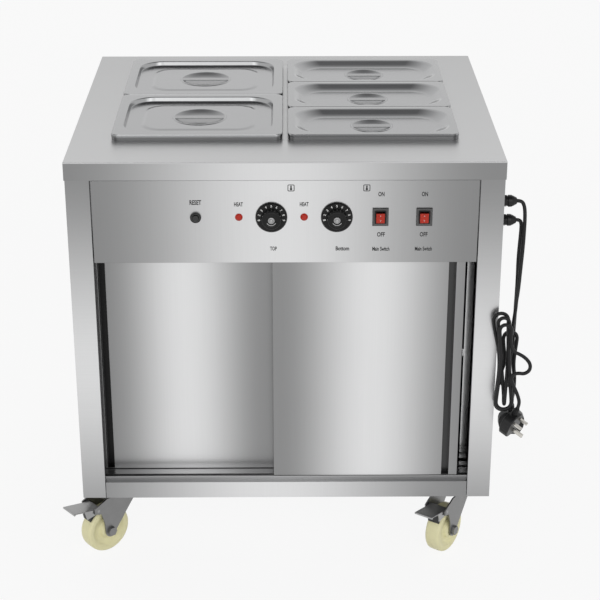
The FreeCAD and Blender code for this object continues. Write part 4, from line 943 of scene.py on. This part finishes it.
def makeKnob(name, x):
    place = onPanel(x)
    base, rim, reach = knobSizes["standOff"], knobSizes["skirtDepth"], knobSizes["reach"]
    skirt, cap, insert, shaft = (knobSizes[key] for key in ("skirt", "capFront", "insert", "shaft"))
    body = bmesh.new()
    turned(body, [(0, base, 0), (skirt, base, 0.5), (skirt, base + 1.4, 0.6),
                  (knobSizes["skirtFront"], rim, 0.8), (knobSizes["cap"], rim, 0.8), (cap, reach - 0.6, 2.6),
                  (cap - 4.6, reach, 0.8), (insert + 2.2, reach - 1.8, 0.8),
                  (insert + 0.2, reach - 1.8, 0.2), (insert + 0.2, reach - 4, 0), (0, reach - 4, 0)], place, 64)
    back = nodeBox(name)[1].y - panelSizes["front"]
    turned(body, [(0, -back, 0), (shaft, -back, 0.4), (shaft, base + 2, 0), (0, base + 2, 0)], place, 24)
    pointer = Matrix.Translation((0, cap + 0.2, (reach + rim) / 2 - 1))
    block(body, (*knobSizes["pointer"], reach - rim - 4), place @ pointer, 0.6)
    finished("moulded_" + name, body, [knobBlack], name, [name])
    disc = bmesh.new()
    turned(disc, [(0, reach - 4, 0), (insert, reach - 4, 0), (insert, reach - 1.0, 0.5),
                  (insert - 1.2, reach - 0.6, 0.3), (insert - 2.0, reach - 1.6, 0.2),
                  (insert - 3.0, reach - 1.6, 0.2), (insert - 3.6, reach + 0.4, 0.5), (0, reach + 0.9, 0)],
           place, 40)
    slot = place @ Matrix.Translation((0, 0, reach + 0.9)) @ Matrix.Rotation(0.9, 4, "Z")
    block(disc, knobSizes["slot"], slot, 0)
    crescent(disc, knobSizes["crescent"], place @ Matrix.Translation((0, 0, reach - 0.9)))
    finished("insert_" + name, disc, [insertSteel], name)
    marks = bmesh.new()
    numerals = knobSizes["numerals"]
    height, width, weight = knobSizes["numeral"]
    outwards = Matrix.Translation((0, numerals["radius"], rim + 0.05))
    for step in range(numerals["count"]):
        angle = math.radians(numerals["first"] + numerals["step"] * step)
        spot = Matrix.Rotation(-angle, 4, "Z") @ outwards
        words(marks, str(step + 1), height, place @ spot, width, weight)
    finished("numerals_" + name, marks, [markWhite], name)


for knobName, knobX in panelSizes["knobs"].items():
    makeKnob(knobName, knobX)


def makeLenses():
    mesh = bmesh.new()
    for x in panelSizes["lamps"]:
        turned(mesh, [(0, -26, 0), (5.5, -26, 0.5), (5.5, 0, 0), (7.1, 0, 0), (7.1, 1.2, 0.5),
                      (6.0, 2.2, 0.6), (4.6, 4.0, 1.4), (0, 4.5, 0)], onPanel(x), 40)
    finished("lenses", mesh, [lensRed], "cabinet", ["indicator_lamps"])


def makeReset():
    x = panelSizes["reset"]
    ring = bmesh.new()
    turned(ring, [(6.0, 0.02, 0), (6.0, 4.4, 0.5), (7.6, 4.8, 0.6), (10.2, 2.8, 0.8), (10.4, 0.02, 0),
                  (6.0, 0.02, 0)], onPanel(x), 48)
    finished("reset_ring", ring, [resetBlack], "cabinet")
    button = bmesh.new()
    turned(button, [(0, -3.6, 0), (5.8, -3.6, 0.3), (5.8, 6.0, 0.3), (5.2, 7.0, 1.2), (3.4, 7.0, 0.8),
                    (0, 6.4, 0)], onPanel(x), 40)
    finished("reset_cap", button, [resetBlack], "reset_button", ["reset_button"])


switchSizes = {"half": (14.8, 17.25), "depth": 2.5, "rockerHalf": (8.0, 10.0), "reach": 3.0, "tilt": 10.0,
               "pivotBehind": 4.0, "mark": 2.6}


def makeSwitch(name, x):
    depth = switchSizes["depth"]
    bezel = bmesh.new()
    drawnSheet(bezel, switchSizes["half"],
               [(0, 0.02, 1.6, 0), (0, depth - 0.6, 1.6, 0.6), (1.0, depth + 0.9, 1.4, 0.6),
                (3.0, depth + 0.9, 1.2, 0.6), (4.2, depth + 0.05, 0.8, 0.3), (4.6, depth - 0.3, 0.8, 0)],
               filled=False)
    bmesh.ops.transform(bezel, matrix=onPanel(x), verts=bezel.verts)
    finished("bezel_" + name, bezel, [bezelGrey], "cabinet")
    mesh = copied(name)
    roundBends(mesh, 0.7, 2.5)
    finished("moulded_" + name, mesh, [rockerRed], name, [name])
    marks = bmesh.new()
    halfHeight = switchSizes["rockerHalf"][1]
    tilt = math.radians(switchSizes["tilt"])
    dip = halfHeight * math.sin(tilt) / 2
    front = depth + switchSizes["reach"]
    slope = math.atan2(dip, halfHeight)
    pivot = Matrix.Translation((0, 0, -switchSizes["pivotBehind"]))
    leaning = onPanel(x) @ pivot @ Matrix.Rotation(tilt, 4, "X") @ pivot.inverted()
    for side, mark, width in ((1, "I", 0.7), (-1, "O", 2.2)):
        face = Matrix.Translation((0, side * halfHeight / 2, front - dip / 2 + 0.06))
        face = face @ Matrix.Rotation(side * slope, 4, "X")
        words(marks, mark, switchSizes["mark"], leaning @ face, width)
    finished("marks_" + name, marks, [markWhite], name)


makeLenses()
makeReset()
for switchName, switchX in panelSizes["switches"].items():
    makeSwitch(switchName, switchX)
print("controls made")


# Lettering on the panel: words as text, capital height, width, middle across and up

panelWords = (
    ("RESET", 8.6, 21.5, -165.7, 771.6), ("HEAT", 7.6, 16.2, -86.4, 767.8), ("HEAT", 7.6, 16.2, 34.8, 767.8),
    ("TOP", 7.4, 12.6, -22.4, 679.8), ("Bottom", 7.8, 25.2, 106.2, 679.8),
    ("ON", 8.2, 11.4, 176.9, 787.2), ("ON", 8.2, 11.4, 257.0, 787.2),
    ("OFF", 8.2, 14.6, 177.6, 707.6), ("OFF", 8.2, 14.6, 257.0, 707.6),
    ("Main Switch", 7.4, 32.0, 178.0, 678.8), ("Main Switch", 7.4, 32.0, 257.4, 678.8),
)
wordWeight = 0.03
iconPlaces = ((10.6, 799.6), (149.9, 799.3))
iconSizes = {"outer": (6.4, 6.6, 2.2, 0), "inner": (5.0, 5.2, 1.2, 0), "bulb": 2.2, "bulbLow": -2.4,
             "stem": (1.3, 3.4, 1), "stemHigh": 1.0}


def makeLettering():
    mesh = bmesh.new()
    for text, height, width, x, z in panelWords:
        words(mesh, text, height, onPanel(x, z, 0.06), width, wordWeight)
    for x, z in iconPlaces:
        icon = bmesh.new()
        rings = [roundedRing(icon, *iconSizes["outer"]), roundedRing(icon, *iconSizes["inner"])]
        bridged(icon, rings, filled=False)
        bulb = bmesh.ops.create_circle(icon, cap_ends=True, segments=20, radius=iconSizes["bulb"])["verts"]
        bmesh.ops.translate(icon, vec=(0, iconSizes["bulbLow"], 0), verts=bulb)
        stem = bmesh.ops.create_grid(icon, x_segments=1, y_segments=1, size=1)["verts"]
        bmesh.ops.scale(icon, vec=iconSizes["stem"], verts=stem)
        bmesh.ops.translate(icon, vec=(0, iconSizes["stemHigh"], 0), verts=stem)
        data = bpy.data.meshes.new("icon")
        bmesh.ops.transform(icon, matrix=onPanel(x, z, 0.06), verts=icon.verts)
        icon.to_mesh(data)
        icon.free()
        mesh.from_mesh(data)
        bpy.data.meshes.remove(data)
    bmesh.ops.recalc_face_normals(mesh, faces=mesh.faces)
    for face in mesh.faces:
        if face.normal.y > 0:
            face.normal_flip()
    finished("panel_lettering", mesh, [inkGrey], "cabinet")


makeLettering()
print("lettering made")


# Glands and plugs

glandSizes = {"start": 404.5, "y": -325.0, "heights": {"gland_upper": 761.0, "gland_lower": 723.0},
              "radius": 11.5, "reach": 28.0, "throat": 6.0, "bore": 3.5}


def makeGland(name, z):
    outwards = Matrix.Rotation(math.radians(90), 4, "Y")
    place = Matrix.Translation((glandSizes["start"], glandSizes["y"], z)) @ outwards
    r, reach, bore = glandSizes["radius"], glandSizes["reach"], glandSizes["bore"]
    mesh = bmesh.new()
    turned(mesh, [(0, 0.05, 0), (r, 0.05, 0.4), (r, reach * 0.3 - 0.6, 0.6), (r - 1.2, reach * 0.3, 0.2),
                  (0, reach * 0.3, 0)], place, 6)
    turned(mesh, [(0, reach * 0.3, 0), (r - 1.6, reach * 0.3, 0), (r - 1.6, reach * 0.36, 0.1),
                  (r - 0.1, reach * 0.4, 0.3), (r - 0.3, reach * 0.64, 0.8), (0, reach * 0.64, 0)], place, 14)
    turned(mesh, [(0, reach * 0.6, 0), (r - 1.0, reach * 0.62, 0.2), (r - 1.4, reach * 0.7, 1.5),
                  (glandSizes["throat"], reach - 0.8, 1.2), (bore + 0.5, reach, 0.3),
                  (bore - 0.5, reach - 1.5, 0)], place, 32)
    inside = copied(name)
    parts = list(inside.verts) + list(inside.edges) + list(inside.faces)
    bmesh.ops.bisect_plane(inside, geom=parts, plane_co=(glandSizes["start"] - 0.1, 0, 0), plane_no=(1, 0, 0),
                           clear_outer=True)
    data = bpy.data.meshes.new("inside")
    inside.to_mesh(data)
    inside.free()
    mesh.from_mesh(data)
    bpy.data.meshes.remove(data)
    return finished("moulded_" + name, mesh, [plugBlack], "cabinet", [name])


plugSizes = {
    "frames": {"plug_upper": ((435.5, -385, 325), (0.25, -0.25, 0.935), (0.737, -0.577, -0.351)),
               "plug_lower": ((443.5, -332, 300), (0, 0, 1), (0, 1, 0))},
    "half": (25.0, 10.0, 24.0), "corner": 5.5, "edge": 2.5, "panel": ((3.0, 0), (0.8, -0.8)), "relief": 15.0,
    "reliefEnds": (6.5, 4.5), "ribs": 4, "earth": (4.0, 22.7, 8.0), "live": (6.3, 17.7, 4.0),
    "earthPlace": -10.5, "pinSpacing": 22.2,
}


def makePlug(name):
    centre, cordWay, pinWay = (Vector(value) for value in plugSizes["frames"][name])
    cordWay.normalize()
    sideways = pinWay.cross(cordWay).normalized()
    pinWay = cordWay.cross(sideways)
    place = Matrix.Translation(centre) @ Matrix((sideways, pinWay, cordWay)).transposed().to_4x4()
    w, t, h = plugSizes["half"]
    mesh = bmesh.new()
    outline = [(-w * 0.62, -h), (w * 0.62, -h), (w, -h * 0.3), (w, h * 0.55), (w * 0.55, h), (-w * 0.55, h),
               (-w, h * 0.55), (-w, -h * 0.3)]
    verts = [mesh.verts.new((x, t, z)) for x, z in outline]
    mesh.faces.new(verts)
    bevelled(mesh, verts, plugSizes["corner"], 4, "VERTICES")
    front = list(mesh.faces)
    grown = bmesh.ops.extrude_face_region(mesh, geom=front)["geom"]
    back = [item for item in grown if isinstance(item, bmesh.types.BMFace)]
    bmesh.ops.translate(mesh, vec=(0, -2 * t, 0), verts=unique(vert for item in back for vert in item.verts))
    bmesh.ops.recalc_face_normals(mesh, faces=mesh.faces)
    rims = [edge for edge in mesh.edges if abs(edge.verts[0].co.y - edge.verts[1].co.y) < 0.01]
    bevelled(mesh, rims, plugSizes["edge"], 3)
    panel = max(mesh.faces, key=lambda item: -item.normal.y * item.calc_area())
    for thickness, depth in plugSizes["panel"]:
        bmesh.ops.inset_region(mesh, faces=[panel], thickness=thickness, depth=depth)
    wide, narrow = plugSizes["reliefEnds"]
    reach = plugSizes["relief"]
    ribs = [(0, -2, 0), (wide, -2, 0)]
    for rib in range(plugSizes["ribs"]):
        low = 1 + rib * (reach - 2) / plugSizes["ribs"]
        radius = wide + (narrow - wide) * low / reach
        ribs += [(radius, low, 0.4), (radius, low + 1.9, 0.4), (radius - 1.0, low + 2.3, 0.2),
                 (radius - 1.0, low + 2.9, 0.2)]
    ribs += [(narrow, reach, 0.3), (0, reach, 0)]
    turned(mesh, ribs, Matrix.Translation((0, 0, h)), 28)
    for item in mesh.faces:
        item.material_index = 0
    known = set(mesh.faces)
    earth, spacing = plugSizes["earthPlace"], plugSizes["pinSpacing"]
    pins = [(0, earth, plugSizes["earth"])]
    pins += [(side * spacing / 2, earth + spacing, plugSizes["live"]) for side in (-1, 1)]
    for x, z, size in pins:
        block(mesh, size, Matrix.Translation((x, t + size[1] / 2, z)), 0.6)
    for item in mesh.faces:
        if item not in known:
            item.material_index = 1
    bmesh.ops.transform(mesh, matrix=place, verts=mesh.verts)
    return finished("moulded_" + name, mesh, [plugBlack, pinMetal], "cabinet", [name])


glands = {name: makeGland(name, z) for name, z in glandSizes["heights"].items()}
plugs = {name: makePlug(name) for name in plugSizes["frames"]}
print("glands and plugs made")
